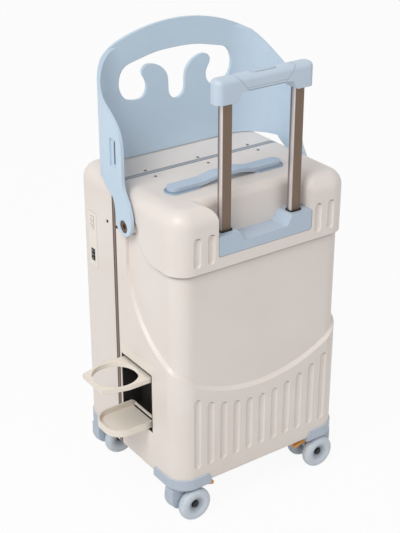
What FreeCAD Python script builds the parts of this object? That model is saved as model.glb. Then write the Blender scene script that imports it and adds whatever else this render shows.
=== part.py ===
import FreeCAD, Part
import math
import os
import re
import Sketcher
from FreeCAD import Placement, Rotation, Vector

# A cabin suitcase that a child can ride on: two shells on an aluminium frame, a U-shaped guard
# round the top, a telescopic handle, a fold-out cup holder and four braked twin casters.
# X is to the right seen from the handle side, Y runs from the handle side to the lid, Z is up.
# Y is zero where the two halves meet, Z is zero on the floor; all lengths are millimetres.

SIZES = {
    # the two shells
    "case_width": 332, "rear_depth": 173, "lid_depth": 116, "shell_height": 485, "corner_radius": 34,
    "top_radius": 26, "bottom_radius": 12, "shell_skin": 2, "lid_skin": 2.5, "frame_strip": 5,
    "cut_margin": 10,
    # the sunken waist between cap and apron
    "waist_step": 5.5, "cap_height": 101, "cap_front": 71, "cap_corner": 40, "smile_rise": 154,
    "smile_radius": 263, "ledge_rise": 6, "flange_arc_depth": 186.4, "flange_arc_radius": 153,
    # the upright grooves pressed into cap and apron
    "groove_radius": 7.5, "groove_sink": 4, "groove_side": 38, "apron_groove_rise": 35,
    "apron_groove_gap": 20, "cap_groove_gap": 10, "cap_groove_length": 51,
    # the rivets of the frame
    "rivet_radius": 2.6, "rivet_height": 1, "rivet_pitch": 100, "rear_rivet_back": 19,
    "lid_rivet_back": 10, "rear_rivet_side": 8, "lid_rivet_side": 20, "rivet_side_drop": 73,
    # the hinges of the lid
    "hinge_rise": 106, "hinge_drop": 144, "hinge_knuckle": 16, "hinge_leaf": 1.5, "hinge_leaf_width": 15,
    "hinge_radius": 3.2, "hinge_pin_radius": 1.6, "hinge_stand": 4, "hinge_gap": 0.4,
    # the lock in the lid's side
    "lock_back": 55, "lock_width": 25, "lock_drop": 171, "lock_height": 97, "lock_depth": 19,
    "lock_proud": 1, "dial_radius": 9, "dial_height": 6.2, "dial_gap": 0.6, "dial_rise": 12,
    "dial_proud": 1.5, "dial_play": 0.5, "dial_axle_radius": 2, "lock_button_rise": 68,
    "lock_button_height": 22, "lock_button_width": 11, "lock_button_depth": 6, "lock_button_travel": 2.5,
    # the guard round the top
    "guard_gap": 3, "guard_thickness": 5.5, "guard_front": 74, "guard_corner": 66, "guard_height": 214.5,
    "guard_arch_radius": 290, "guard_clearance": 1.5, "arm_radius": 22, "handhold_half_width": 108,
    "handhold_rise": 84, "handhold_height": 85, "belt_slot_rise": 36, "belt_slot_height": 36,
    "belt_slot_width": 8, "belt_slot_back": 21, "belt_rest_width": 16, "belt_rest_sink": 2.5,
    # the pivots of the guard
    "pivot_back": 42, "pivot_drop": 58, "pivot_hole_radius": 10.5, "pivot_shank_radius": 5,
    "pivot_sink": 1.5, "pivot_boss_radius": 16, "pivot_boss_proud": 0.5, "pivot_socket_radius": 4,
    "pivot_socket_depth": 2.5,
    # the telescopic handle
    "tube_spread": 66.5, "tube_in": 19, "tube_width": 18.5, "tube_depth": 13.5, "tube_radius": 3.2,
    "tube_wall": 1.2, "tube_length": 444, "tube_cover": 13, "tube_play": 0.3, "guide_wall": 1.7,
    "recess_depth": 82, "recess_corner": 4.5, "recess_round": 14, "shoulder_radius": 22,
    "base_half_width": 89.5, "base_depth": 36, "base_height": 33, "trough_height": 17, "base_round": 6,
    "socket_inner": 50, "socket_slope": 10, "seal_width": 2, "seal_height": 1.6, "grip_side_play": 0.5,
    "grip_depth": 26, "grip_rise": 188, "grip_height": 23, "grip_end_height": 37, "grip_end_width": 34,
    "grip_slope": 8, "grip_bend": 7, "grip_round": 11, "grip_edge": 8, "button_length": 43,
    "button_width": 11, "button_height": 6, "button_proud": 1.6, "button_travel": 3, "button_play": 0.3,
    # the carry handle on the top
    "strap_half_length": 106, "strap_shift": -16, "strap_gap": 37, "strap_width": 23,
    "strap_thickness": 6, "strap_rise": 5, "strap_foot": 60, "strap_slope": 26, "foot_height": 3.4,
    "foot_margin": 3, "foot_length": 60, "post_inset": 14, "post_radius": 4, "post_play": 0.3,
    "post_length": 26, "post_head_radius": 6.5, "post_head_height": 4,
    # the cup holder in the side
    "cup_margin": 1, "mouth_rise": 82, "mouth_height": 104, "liner_wall": 2, "liner_depth": 38,
    "bezel_border": 4, "bezel_head": 18, "bezel_thickness": 3, "ring_hole_radius": 37.5,
    "ring_wall": 4.5, "ring_side_play": 1, "ring_hinge_drop": 8, "ring_hinge_in": 5, "ring_thickness": 8,
    "ring_hole_reach": 45, "ring_edge_inset": 11, "flap_pin_radius": 2.5, "flap_pin_length": 3,
    "pin_play": 0.05, "tray_hinge_in": 18, "tray_hinge_rise": 6, "tray_drop": 3, "tray_depth": 12,
    "tray_reach": 85, "tray_side_play": 6, "tray_wall": 3, "tray_corner": 30, "tray_start": 6,
    "tray_lug": 6,
    # the corner bumpers
    "band_step": 2, "band_length": 64, "band_side": 70, "band_height": 20, "band_round": 10,
    "bumper_floor": 3.8,
    # the casters
    "caster_in": 20, "caster_back": 28, "caster_trail": 16, "wheel_radius": 29, "wheel_clearance": 2,
    "wheel_width": 18, "wheel_round": 8, "wheel_gap": 1, "dish_radius": 19, "dish_sink": 3.5,
    "hub_radius": 10, "hub_sink": 2.5, "axle_radius": 5.5, "axle_sink": 5, "web_thickness": 22,
    "fork_gap": 0.2, "fork_back": 20, "fork_heel_drop": 4, "fork_heel": 15, "fork_toe": 40,
    "fork_axle_reach": 11, "fork_edge": 3, "stem_radius": 6, "stem_length": 11, "stem_play": 1,
    # the brake pedals
    "pedal_pivot_in": 3.5, "pedal_pivot_drop": 6, "pedal_pin_radius": 2, "pedal_cheek": 2.6,
    "pedal_cheek_radius": 4, "pedal_toe_gap": 1, "pedal_length": 19, "pedal_thickness": 7,
    "pedal_slant": 6, "pedal_edge": 2, "pedal_gap": 0.4,
}

# How many grooves the apron has on each side of its middle one.
GROOVES_EACH_SIDE = 5

# Sums that many pieces share. Heights stack from the floor up: wheels, forks, bumpers, shells.
PLACES = {
    "half_case": "case_width / 2",
    "case_depth": "rear_depth + lid_depth",
    "wall_inset": "waist_step + shell_skin",
    "fork_top": "2 * wheel_radius + wheel_clearance",
    "bumper_bottom": "fork_top + fork_gap",
    "shell_bottom": "bumper_bottom + bumper_floor",
    "shell_top": "shell_bottom + shell_height",
    "band_top": "shell_bottom + band_height",
    "smile_low": "shell_bottom + smile_rise",
    "cap_edge": "shell_top - cap_height",
    "groove_pitch": "(half_case - groove_side) / %d" % GROOVES_EACH_SIDE,
    "apron_groove_low": "shell_bottom + apron_groove_rise",
    "cap_groove_low": "cap_edge + cap_groove_gap",
    "cap_groove_high": "cap_groove_low + cap_groove_length",
    "rivet_side_height": "shell_top - rivet_side_drop",
    "hinge_low": "shell_bottom + hinge_rise",
    "hinge_high": "shell_top - hinge_drop",
    "lock_bottom": "shell_top - lock_drop",
    "lock_middle": "lock_back + lock_width / 2",
    "dial_bottom": "lock_bottom + dial_rise",
    "dial_across": "dial_radius - dial_proud - lock_proud - half_case",
    "dial_stack": "3 * dial_height + 4 * dial_gap",
    "lock_button_bottom": "lock_bottom + lock_button_rise",
    "guard_top": "shell_top + guard_height",
    "guard_lower": "shell_top + guard_clearance",
    "guard_inside": "half_case + guard_gap",
    "guard_outside": "guard_inside + guard_thickness",
    "handhold_bottom": "shell_top + handhold_rise",
    "belt_slot_bottom": "shell_top + belt_slot_rise",
    "pivot_height": "shell_top - pivot_drop",
    "pivot_wall": "half_case + pivot_boss_proud",
    "pivot_face": "guard_outside - pivot_sink",
    "tube_back": "rear_depth - tube_in",
    "base_bottom": "shell_top - recess_depth",
    "base_top": "base_bottom + base_height",
    "base_trough": "base_bottom + trough_height",
    "grip_half_width": "base_half_width - grip_side_play",
    "grip_top": "shell_top + grip_rise",
    "grip_bottom": "grip_top - grip_height",
    "grip_end_bottom": "grip_top - grip_end_height",
    "tube_top": "grip_top - tube_cover",
    "tube_bottom": "tube_top - tube_length",
    "button_bottom": "grip_top + button_proud - button_height",
    "strap_back": "rear_depth - base_depth - recess_round - strap_gap",
    "post_bottom": "shell_top + foot_height - post_length",
    "ring_half_width": "ring_hole_radius + ring_wall",
    "ring_reach": "ring_hole_reach + ring_half_width",
    "mouth_half_width": "ring_half_width + ring_side_play",
    "liner_half_width": "mouth_half_width + liner_wall",
    "bezel_half_width": "liner_half_width + bezel_border",
    "cup_back": "frame_strip + cup_margin + bezel_half_width",
    "mouth_bottom": "shell_bottom + mouth_rise",
    "liner_bottom": "mouth_bottom - liner_wall",
    "liner_height": "mouth_height + 2 * liner_wall",
    "ring_hinge_across": "ring_hinge_in - half_case",
    "ring_hinge_height": "mouth_bottom + mouth_height - ring_hinge_drop",
    "tray_hinge_across": "tray_hinge_in - half_case",
    "tray_hinge_height": "mouth_bottom + tray_hinge_rise",
    "tray_half_width": "mouth_half_width - tray_side_play",
    "tray_middle": "tray_hinge_height - tray_drop + tray_depth / 2",
    "stem_hole": "stem_radius + stem_play",
    "fork_low": "wheel_radius - fork_heel_drop",
    "wheel_inside": "web_thickness / 2 + wheel_gap",
    "wheel_outside": "wheel_inside + wheel_width",
    "pedal_pivot_reach": "fork_toe - pedal_pivot_in",
    "pedal_pivot_height": "fork_top - pedal_pivot_drop",
    "pedal_start": "fork_toe + pedal_toe_gap",
    "pedal_half_width": "web_thickness / 2 + pedal_gap + pedal_cheek",
}

# The hand-hold's edge from the middle of its top to the middle of its bottom, as shares of its
# half width and of its height: an arched window with two antler fingers rising from below.
HANDHOLD_SHARES = (
    (0.0, 1.0), (0.37, 0.975), (0.72, 0.88), (0.91, 0.79), (1.0, 0.58), (0.985, 0.35), (0.88, 0.18),
    (0.75, 0.135), (0.61, 0.15), (0.535, 0.28), (0.545, 0.47), (0.6, 0.64), (0.56, 0.735), (0.43, 0.76),
    (0.29, 0.69), (0.175, 0.52), (0.15, 0.3), (0.12, 0.09), (0.0, 0.0),
)
# The wing's rear edge from the arm's end to the arch, as shares of the arm's end radius: how far it
# lies before the pivot and above it.
WING_REAR_SHARES = (
    (-1.0, 0.3), (-0.91, 1.26), (-0.68, 1.8), (-0.34, 2.32), (-0.06, 2.8), (0.04, 3.5), (0.03, 5.3),
    (0.36, 6.75), (1.5, 7.87), (3.04, 8.9), (4.0, 9.83), (4.71, 10.67), (5.02, 11.09),
)
# The wing's front edge from the arm's end to the guard's lower edge, as the same shares.
WING_FRONT_SHARES = ((1.0, 0.3), (1.05, 0.8), (1.12, 1.3), (1.3, 1.75), (1.7, 2.05), (2.6, 2.7))
# The lowest point of the arm's round end, as the same shares.
ARM_LOW_SHARES = (0.0, -0.7)
# How far the flange's arc swings up each side, as a share of a quarter turn.
FLANGE_SWING_SHARE = 0.955

SIDES = (("left", "-1"), ("right", "1"))
# Each corner's side across the case and along it.
CORNERS = {
    "rear_left": ("-1", "-1"), "rear_right": ("1", "-1"),
    "front_left": ("-1", "1"), "front_right": ("1", "1"),
}
TURNS = {"x": Rotation(Vector(0, 1, 0), 90), "y": Rotation(Vector(1, 0, 0), -90), "z": Rotation()}
SMALL = 1e-6
LEDGE_STATIONS = 13

doc = FreeCAD.newDocument("ride_on_suitcase")
nodes = []


def cells(text):
    """A sum in plain names, with every name written as its cell in one of the two sheets."""
    def cell(word):
        return ("Places." if word.group() in PLACES else "Sizes.") + word.group()
    return re.sub(r"[a-z]+(_[a-z]+)+", cell, text)


def fill_sheet(name, rows):
    """A sheet with an aliased number or sum on each row."""
    item = doc.addObject("Spreadsheet::Sheet", name)
    for row, (alias, text) in enumerate(rows.items(), start=1):
        item.set("A%d" % row, alias)
        item.set("B%d" % row, text)
        item.setAlias("B%d" % row, alias)
    doc.recompute()
    return item


sizes = fill_sheet("Sizes", {alias: str(number) for alias, number in SIZES.items()})
places = fill_sheet("Places", {
    alias: "=" + cells(text).replace("Places.", "") for alias, text in PLACES.items()})


def size(name):
    """The number in the cell of that name."""
    return float((places if name in PLACES else sizes).get(name))


def bind(item, **sums):
    """Ties properties of an object to sums of cells."""
    for name, text in sums.items():
        item.setExpression(name, cells(text))


def place(item, corner):
    """Ties the place of an object to three sums of cells."""
    for axis, text in zip("xyz", corner):
        item.setExpression("Placement.Base." + axis, cells(text))


def node(item, label):
    """Names a finished sub-part, which then goes to a file of that name."""
    item.Label = label
    nodes.append(item)
    return item


# Plain solids and what is made of them


def block(name, sides, corner):
    """A plain box from its lowest corner."""
    item = doc.addObject("Part::Box", name)
    bind(item, Length=sides[0], Width=sides[1], Height=sides[2])
    place(item, corner)
    return item


def drum(name, axis, radius, length, start):
    """A cylinder that begins at a point and runs along +X, +Y or +Z."""
    item = doc.addObject("Part::Cylinder", name)
    item.Placement = Placement(Vector(), TURNS[axis])
    bind(item, Radius=radius, Height=length)
    place(item, start)
    return item


def ball(name, radius, centre):
    """A sphere about a point."""
    item = doc.addObject("Part::Sphere", name)
    bind(item, Radius=radius)
    place(item, centre)
    return item


def join(name, items):
    """Several solids made one."""
    item = doc.addObject("Part::MultiFuse", name)
    item.Shapes = items
    return item


def group(name, items):
    """Several solids that stay apart in one sub-part."""
    item = doc.addObject("Part::Compound", name)
    item.Links = items
    return item


def cut(name, base, *tools):
    """One solid less others, taken away in turn."""
    item = base
    for count, tool in enumerate(tools, start=1):
        smaller = doc.addObject("Part::Cut", name if count == len(tools) else "%s_step_%d" % (name, count))
        smaller.Base = item
        smaller.Tool = tool
        item = smaller
    return item


def common(name, first, second):
    """What two solids share."""
    item = doc.addObject("Part::Common", name)
    item.Base = first
    item.Tool = second
    return item


def mirrored(name, item):
    """The mirror image of a solid across the plane Y = 0."""
    twin = doc.addObject("Part::Mirroring", name)
    twin.Source = item
    twin.Normal = Vector(0, 1, 0)
    return twin


# Sketched solids


def new_sketch(body, plane):
    """A sketch on one of the body's own origin planes."""
    sketch = body.newObject("Sketcher::SketchObject", body.Name + "_outline")
    origin_plane = next(item for item in body.Origin.OriginFeatures if item.Role == plane)
    sketch.AttachmentSupport = [(origin_plane, "")]
    sketch.MapMode = "FlatFace"
    return sketch


def rectangle(sketch, width, depth):
    """A rectangle from the sketch's origin with both sides tied to the sheets."""
    corners = [Vector(0, 0, 0), Vector(1, 0, 0), Vector(1, 1, 0), Vector(0, 1, 0)]
    for start, end in zip(corners, corners[1:] + corners[:1]):
        sketch.addGeometry(Part.LineSegment(start, end))
    for side in range(4):
        sketch.addConstraint(Sketcher.Constraint("Coincident", side, 2, (side + 1) % 4, 1))
        sketch.addConstraint(Sketcher.Constraint("Horizontal" if side % 2 == 0 else "Vertical", side))
    sketch.addConstraint(Sketcher.Constraint("Coincident", 0, 1, -1, 1))
    for kind, side, text in (("DistanceX", 0, width), ("DistanceY", 1, depth)):
        number = sketch.addConstraint(Sketcher.Constraint(kind, side, 1, side, 2, 1.0))
        sketch.setExpression("Constraints[%d]" % number, cells(text))


def padded(name, sides):
    """A body with one pad: a rectangle from the origin, made solid upwards."""
    body = doc.addObject("PartDesign::Body", name)
    sketch = new_sketch(body, "XY_Plane")
    rectangle(sketch, sides[0], sides[1])
    pad = body.newObject("PartDesign::Pad", name + "_pad")
    pad.Profile = sketch
    bind(pad, Length=sides[2])
    doc.recompute()
    return body, pad


def edge_names(shape, wanted):
    """The names of the edges that pass a test."""
    return ["Edge%d" % count for count, edge in enumerate(shape.Edges, start=1) if wanted(edge)]


def upright(edge):
    """Whether an edge is straight and runs along Z."""
    box = edge.BoundBox
    return box.XLength < SMALL and box.YLength < SMALL


def level_at(height):
    """A test for edges that lie at one height."""
    return lambda edge: abs(edge.BoundBox.ZMin - height) < SMALL and edge.BoundBox.ZLength < SMALL


def round_edges(body, base, wanted, radius, tag):
    """Rounds the edges of a body's last feature that pass a test."""
    fillet = body.newObject("PartDesign::Fillet", body.Name + tag)
    fillet.Base = (base, edge_names(base.Shape, wanted))
    bind(fillet, Radius=radius)
    doc.recompute()
    return fillet


def rounded_block(name, sides, corner, upright_radius, top_radius=None, bottom_radius=None):
    """A box with rounded upright edges and, if asked, rounded top and bottom edges."""
    body, feature = padded(name, sides)
    top = feature.Shape.BoundBox.ZMax
    feature = round_edges(body, feature, upright, upright_radius, "_upright")
    if top_radius:
        feature = round_edges(body, feature, level_at(top), top_radius, "_top")
    if bottom_radius:
        round_edges(body, feature, level_at(0), bottom_radius, "_bottom")
    place(body, corner)
    return body


def rounded_outline(corners):
    """Lines and tangent arcs round a closed outline of (across, up, radius) corners."""
    curves = []
    ends = []
    for index, (across, up, radius) in enumerate(corners):
        here = Vector(across, up, 0)
        back = (Vector(*corners[index - 1][:2], 0) - here).normalize()
        ahead = (Vector(*corners[(index + 1) % len(corners)][:2], 0) - here).normalize()
        half = back.getAngle(ahead) / 2
        reach = radius / math.tan(half)
        ends.append((here + back * reach, here + ahead * reach))
        if radius:
            inward = (back + ahead).normalize()
            middle = here + inward * (radius / math.sin(half) - radius)
            curves.append(Part.Arc(ends[-1][0], middle, ends[-1][1]))
    for (_, start), (end, _) in zip(ends, ends[1:] + ends[:1]):
        if start.distanceToPoint(end) > SMALL:
            curves.append(Part.LineSegment(start, end))
    return curves


def chain(points):
    """Straight lines from each point to the next."""
    return [Part.LineSegment(Vector(*start, 0), Vector(*end, 0)) for start, end in zip(points, points[1:])]


def arc(start, middle, end):
    """An arc through three points of a sketch."""
    return Part.Arc(Vector(*start, 0), Vector(*middle, 0), Vector(*end, 0))


def spline(points, closed=False):
    """A smooth curve through points of a sketch."""
    curve = Part.BSplineCurve()
    curve.interpolate([Vector(*point, 0) for point in points], closed)
    return curve


def slab(name, plane, curves, length, corner=("0", "0", "0")):
    """An outline made solid equally to both sides of an origin plane."""
    body = doc.addObject("PartDesign::Body", name)
    sketch = new_sketch(body, plane)
    sketch.addGeometry(curves)
    pad = body.newObject("PartDesign::Pad", name + "_pad")
    pad.Profile = sketch
    pad.SideType = "Symmetric"
    bind(pad, Length=length)
    doc.recompute()
    place(body, corner)
    return body


# The two shells


def case_block(name):
    """The whole case's rounded block."""
    return rounded_block(
        name, ("case_width", "case_depth", "shell_height"), ("-half_case", "-rear_depth", "shell_bottom"),
        "corner_radius", "top_radius", "bottom_radius")


def inner_room(name):
    """The room within the walls of the rear shell and the frame, open towards the lid."""
    return rounded_block(
        name, ("case_width - 2 * wall_inset", "case_depth", "shell_height - 2 * wall_inset"),
        ("wall_inset - half_case", "wall_inset - rear_depth", "shell_bottom + wall_inset"),
        "corner_radius - wall_inset", "top_radius - wall_inset")


def half_space(name, low, high):
    """A slice of the case's room between two depths."""
    sides = ("case_width + 2 * cut_margin", "(%s) - (%s)" % (high, low), "shell_height + 2 * cut_margin")
    return block(name, sides, ("-half_case - cut_margin", low, "shell_bottom - cut_margin"))


def smile_height(across):
    """The height of the apron's curved edge on the rear face."""
    return size("smile_low") + size("smile_radius") - math.sqrt(size("smile_radius") ** 2 - across ** 2)


def flange_point(turn):
    """How far along the side the flange's arc has come after a turn from its lowest point."""
    return size("flange_arc_radius") * math.sin(turn) - size("flange_arc_depth")


def flange_rise(along):
    """How far the flange's arc has risen from the rear face to a place along the side."""
    radius, depth = size("flange_arc_radius"), size("flange_arc_depth")
    at_rear = math.sqrt(radius ** 2 - (depth - size("rear_depth")) ** 2)
    return at_rear - math.sqrt(radius ** 2 - (along + depth) ** 2)


def ledge_band(name, foot, first, last):
    """The room over one stretch of the sloping ledge under the waist.

    foot gives, for a number from first to last, a place on the case's outside and the way out from it.
    """
    edges = []
    for out in (size("cut_margin"), -size("waist_step") - size("cut_margin")):
        points = []
        for count in range(LEDGE_STATIONS):
            across, along, out_across, out_along = foot(first + (last - first) * count / (LEDGE_STATIONS - 1))
            fall = out * size("ledge_rise") / size("waist_step")
            height = smile_height(across) + flange_rise(along) - fall
            points.append(Vector(across + out * out_across, along + out * out_along, height))
        curve = Part.BSplineCurve()
        curve.interpolate(points)
        edges.append(curve.toShape())
    item = doc.addObject("Part::Feature", name)
    item.Shape = Part.makeRuledSurface(*edges).extrude(Vector(0, 0, size("shell_height")))
    return item


def ledge_room():
    """The room over the whole ledge: across the rear, round both corners and up both sides."""
    half, rear, radius = size("half_case"), -size("rear_depth"), size("corner_radius")
    straight = half - radius
    first = math.asin((rear + radius + size("flange_arc_depth")) / size("flange_arc_radius"))
    last = FLANGE_SWING_SHARE * math.pi / 2
    bands = [ledge_band("ledge_rear", lambda across: (across, rear, 0, -1), -straight, straight)]
    for side, sign in (("left", -1), ("right", 1)):

        def corner(turn, sign=sign):
            way = (sign * math.cos(turn), -math.sin(turn))
            return (sign * straight + radius * way[0], rear + radius + radius * way[1]) + way

        def flank(turn, sign=sign):
            return sign * half, flange_point(turn), sign, 0

        bands.append(ledge_band("ledge_corner_" + side, corner, 0, math.pi / 2))
        bands.append(ledge_band("ledge_flank_" + side, flank, first, last))
    return join("ledge_room", bands)


def waist_room():
    """The room that is sunk into the rear shell between its cap, its apron and its flange."""
    back, floor = -size("rear_depth") - size("cut_margin"), size("shell_bottom")
    front = flange_point(FLANGE_SWING_SHARE * math.pi / 2)
    cap_front, cap_corner, cap_edge = -size("cap_front"), size("cap_corner"), size("cap_edge")
    end_radius = (front - cap_front) / 2
    end = cap_edge + cap_corner + end_radius
    side = rounded_outline([
        (back, cap_edge, 0), (back, floor, 0), (front, floor, 0), (front, end, end_radius),
        (cap_front, end, end_radius), (cap_front, cap_edge, cap_corner)])
    from_side = slab("waist_from_side", "YZ_Plane", side, "case_width + 2 * cut_margin")
    core = rounded_block(
        "waist_core", ("case_width - 2 * waist_step", "case_depth - waist_step", "shell_height"),
        ("waist_step - half_case", "waist_step - rear_depth", "shell_bottom"), "corner_radius - waist_step")
    return cut("waist", common("waist_zone", from_side, ledge_room()), core)


def groove(name, across, low, high):
    """One round-ended upright groove for the rear face."""
    inset = (across, "groove_sink - groove_radius - rear_depth")
    low_end, high_end = "(%s) + groove_radius" % low, "(%s) - groove_radius" % high
    return [
        drum(name, "z", "groove_radius", "(%s) - (%s)" % (high_end, low_end), inset + (low_end,)),
        ball(name + "_low", "groove_radius", inset + (low_end,)),
        ball(name + "_high", "groove_radius", inset + (high_end,)),
    ]


def grooves():
    """The grooves of the apron under its curved edge, and two at each end of the cap in line with them."""
    items = []
    for count in range(-GROOVES_EACH_SIDE, GROOVES_EACH_SIDE + 1):
        across = "%d * groove_pitch" % count
        number = count + GROOVES_EACH_SIDE + 1
        smile = "smile_low + smile_radius - sqrt(smile_radius ^ 2 - (%s) ^ 2)" % across
        items += groove("apron_groove_%d" % number, across, "apron_groove_low", smile + " - apron_groove_gap")
        if abs(count) >= GROOVES_EACH_SIDE - 1:
            items += groove("cap_groove_%d" % number, across, "cap_groove_low", "cap_groove_high")
    return join("grooves", items)


def handle_recess():
    """The recess in the top rear edge that takes the base and the lowered grip."""
    half, shoulder, corner = size("base_half_width"), size("shoulder_radius"), size("recess_corner")
    floor, top = size("base_bottom"), size("shell_top")
    above = top + size("cut_margin")
    wide = half + shoulder
    across = rounded_outline([
        (-half, floor, corner), (half, floor, corner), (half, top, shoulder), (wide, top, 0),
        (wide, above, 0), (-wide, above, 0), (-wide, top, 0), (-half, top, shoulder)])
    from_rear = slab("recess_from_rear", "XZ_Plane", across, "2 * (rear_depth + cut_margin)")
    back, radius = -size("rear_depth") - size("cut_margin"), size("recess_round")
    wall = size("base_depth") - size("rear_depth")
    along = rounded_outline([
        (back, floor, 0), (wall, floor, 0), (wall, top, radius), (wall + radius, top, 0),
        (wall + radius, above, 0), (back, above, 0)])
    from_side = slab("recess_from_side", "YZ_Plane", along,
                     "2 * (base_half_width + shoulder_radius + cut_margin)")
    return common("handle_recess", from_rear, from_side)


def tube_rooms(name, grow, low, high):
    """The rooms of both handle tubes, drawn out by a play or a wall."""
    sides = ("tube_width + 2 * (%s)" % grow, "tube_depth + 2 * (%s)" % grow, "(%s) - (%s)" % (high, low))
    back = "-tube_back - tube_depth / 2 - (%s)" % grow
    return [rounded_block("%s_%s" % (name, side), sides,
                          ("%s * tube_spread - tube_width / 2 - (%s)" % (sign, grow), back, low),
                          "tube_radius + (%s)" % grow) for side, sign in SIDES]


def stem_holes(name, depth):
    """The holes in a shell's floor over the stems of its two casters."""
    return join(name, [
        drum("%s_%s" % (name, side), "z", "stem_hole", "2 * cut_margin",
             ("%s * (half_case - caster_in)" % sign, depth, "shell_bottom - cut_margin / 2"))
        for side, sign in SIDES])


def pivot_drums(name, radius):
    """A pair of cylinders on the guard's pivot line, from inside the rear shell to its bosses' faces."""
    return [drum("%s_%s" % (name, side), "x", radius, "wall_inset + pivot_boss_proud",
                 (start, "-pivot_back", "pivot_height"))
            for side, start in (("left", "-pivot_wall"), ("right", "half_case - wall_inset"))]


def post_drums(name, radius, length, bottom):
    """A pair of upright cylinders at the posts of the carry handle."""
    return [drum("%s_%s" % (name, side), "z", radius, length,
                 ("strap_shift + %s * (strap_half_length - post_inset)" % sign, "-strap_back", bottom))
            for side, sign in SIDES]


def rear_shell(case):
    """The deep shell: cap, waist and apron outside, a cavity inside, and seats for what it carries."""
    half = common("rear_half", case, half_space("rear_slice", "-rear_depth - cut_margin", "-frame_strip"))
    outer = cut("rear_skin", half, waist_room(), grooves())
    bosses = join("pivot_bosses", [outer] + pivot_drums("pivot_boss", "pivot_boss_radius"))
    recess_walls = block(
        "recess_walls",
        ("2 * (base_half_width + shoulder_radius + shell_skin)", "base_depth + recess_round + shell_skin",
         "shell_height"),
        ("-base_half_width - shoulder_radius - shell_skin", "-rear_depth", "base_bottom - shell_skin"))
    cavity = cut("rear_cavity", inner_room("rear_cavity_room"), recess_walls)
    bores = join("pivot_bores", pivot_drums("pivot_bore", "pivot_shank_radius + pin_play"))
    slots = join("tube_slots", tube_rooms(
        "tube_slot", "tube_play", "base_bottom - 2 * shell_skin", "base_bottom + shell_skin"))
    posts = join("post_holes", post_drums(
        "post_hole", "post_radius + post_play", "2 * cut_margin", "shell_top - cut_margin - shell_skin"))
    stems = stem_holes("rear_stem_holes", "caster_back - rear_depth")
    shell = cut("rear_shell", bosses, cavity, handle_recess(), liner_block("cup_window", "liner_depth"),
                bezel_block("cup_rebate"), bores, slots, posts, stems)
    return node(shell, "rear_shell")


def front_lid(case):
    """The shallow shell that opens, with a window for the lock."""
    outer = common("lid_half", case, half_space("lid_slice", "frame_strip", "lid_depth + cut_margin"))
    cavity = rounded_block(
        "lid_cavity_room",
        ("case_width - 2 * lid_skin", "case_depth - lid_skin", "shell_height - 2 * lid_skin"),
        ("lid_skin - half_case", "-rear_depth", "shell_bottom + lid_skin"),
        "corner_radius - lid_skin", "top_radius - lid_skin", "bottom_radius - lid_skin")
    window = block("lock_window", ("lock_depth + cut_margin", "lock_width", "lock_height"),
                   ("-half_case - cut_margin", "lock_back", "lock_bottom"))
    stems = stem_holes("lid_stem_holes", "lid_depth - caster_back")
    return node(cut("front_lid", outer, cavity, window, stems), "front_lid")


def frame_ring(name, case, low, high):
    """One half of the aluminium frame, level with the shells outside and with their walls inside."""
    ring = common(name + "_band", case, half_space(name + "_slice", low, high))
    return node(cut(name, ring, inner_room(name + "_hole")), name)


def frame_rivets(name, top_depth, side_depth):
    """The rivets that hold one shell to the frame: three on the top and one on each side."""
    heads = [drum("%s_top_%d" % (name, count + 2), "z", "rivet_radius", "rivet_height",
                  ("%d * rivet_pitch" % count, top_depth, "shell_top")) for count in (-1, 0, 1)]
    for side, start in (("left", "-half_case - rivet_height"), ("right", "half_case")):
        heads.append(drum("%s_%s" % (name, side), "x", "rivet_radius", "rivet_height",
                          (start, side_depth, "rivet_side_height")))
    return node(group(name, heads), name)


# The hinges and the lock


def hinge_leaf(name, low, back, bore):
    """One leaf of a hinge: a plate on the frame with its knuckles round the pin."""
    own = (0, 2) if back else (1,)
    axis = ("half_case + hinge_stand", "0")
    length = "hinge_knuckle - hinge_gap"
    pieces = [block(name + "_plate", ("hinge_leaf", "hinge_leaf_width - hinge_gap", "3 * hinge_knuckle"),
                    ("half_case", "-hinge_leaf_width" if back else "hinge_gap", low))]
    for count in own:
        start = "%s + %d * hinge_knuckle + hinge_gap / 2" % (low, count)
        pieces.append(drum("%s_knuckle_%d" % (name, count), "z", "hinge_radius", length, axis + (start,)))
        pieces.append(block("%s_bridge_%d" % (name, count), ("hinge_stand", "hinge_radius", length),
                            ("half_case", "-hinge_radius" if back else "0", start)))
    sweeps = [drum("%s_sweep_%d" % (name, count), "z", "hinge_radius + hinge_gap", "hinge_knuckle",
                   axis + ("%s + %d * hinge_knuckle" % (low, count),))
              for count in range(3) if count not in own]
    return cut(name, join(name + "_whole", pieces), bore, *sweeps)


def hinges():
    """Two hinges on the right side: leaves on the rear shell, leaves on the lid, and their pins."""
    rear, lid, pins = [], [], []
    for count, low in enumerate(("hinge_low", "hinge_high"), start=1):
        axis = ("half_case + hinge_stand", "0", low)
        bore = drum("hinge_bore_%d" % count, "z", "hinge_pin_radius + pin_play", "3 * hinge_knuckle", axis)
        rear.append(hinge_leaf("hinge_rear_leaf_%d" % count, low, True, bore))
        lid.append(hinge_leaf("hinge_lid_leaf_%d" % count, low, False, bore))
        pins.append(drum("hinge_pin_%d" % count, "z", "hinge_pin_radius", "3 * hinge_knuckle", axis))
    node(group("hinge_rear_leaves", rear), "hinge_rear_leaves")
    node(group("hinge_lid_leaves", lid), "hinge_lid_leaves")
    node(group("hinge_pins", pins), "hinge_pins")


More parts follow.
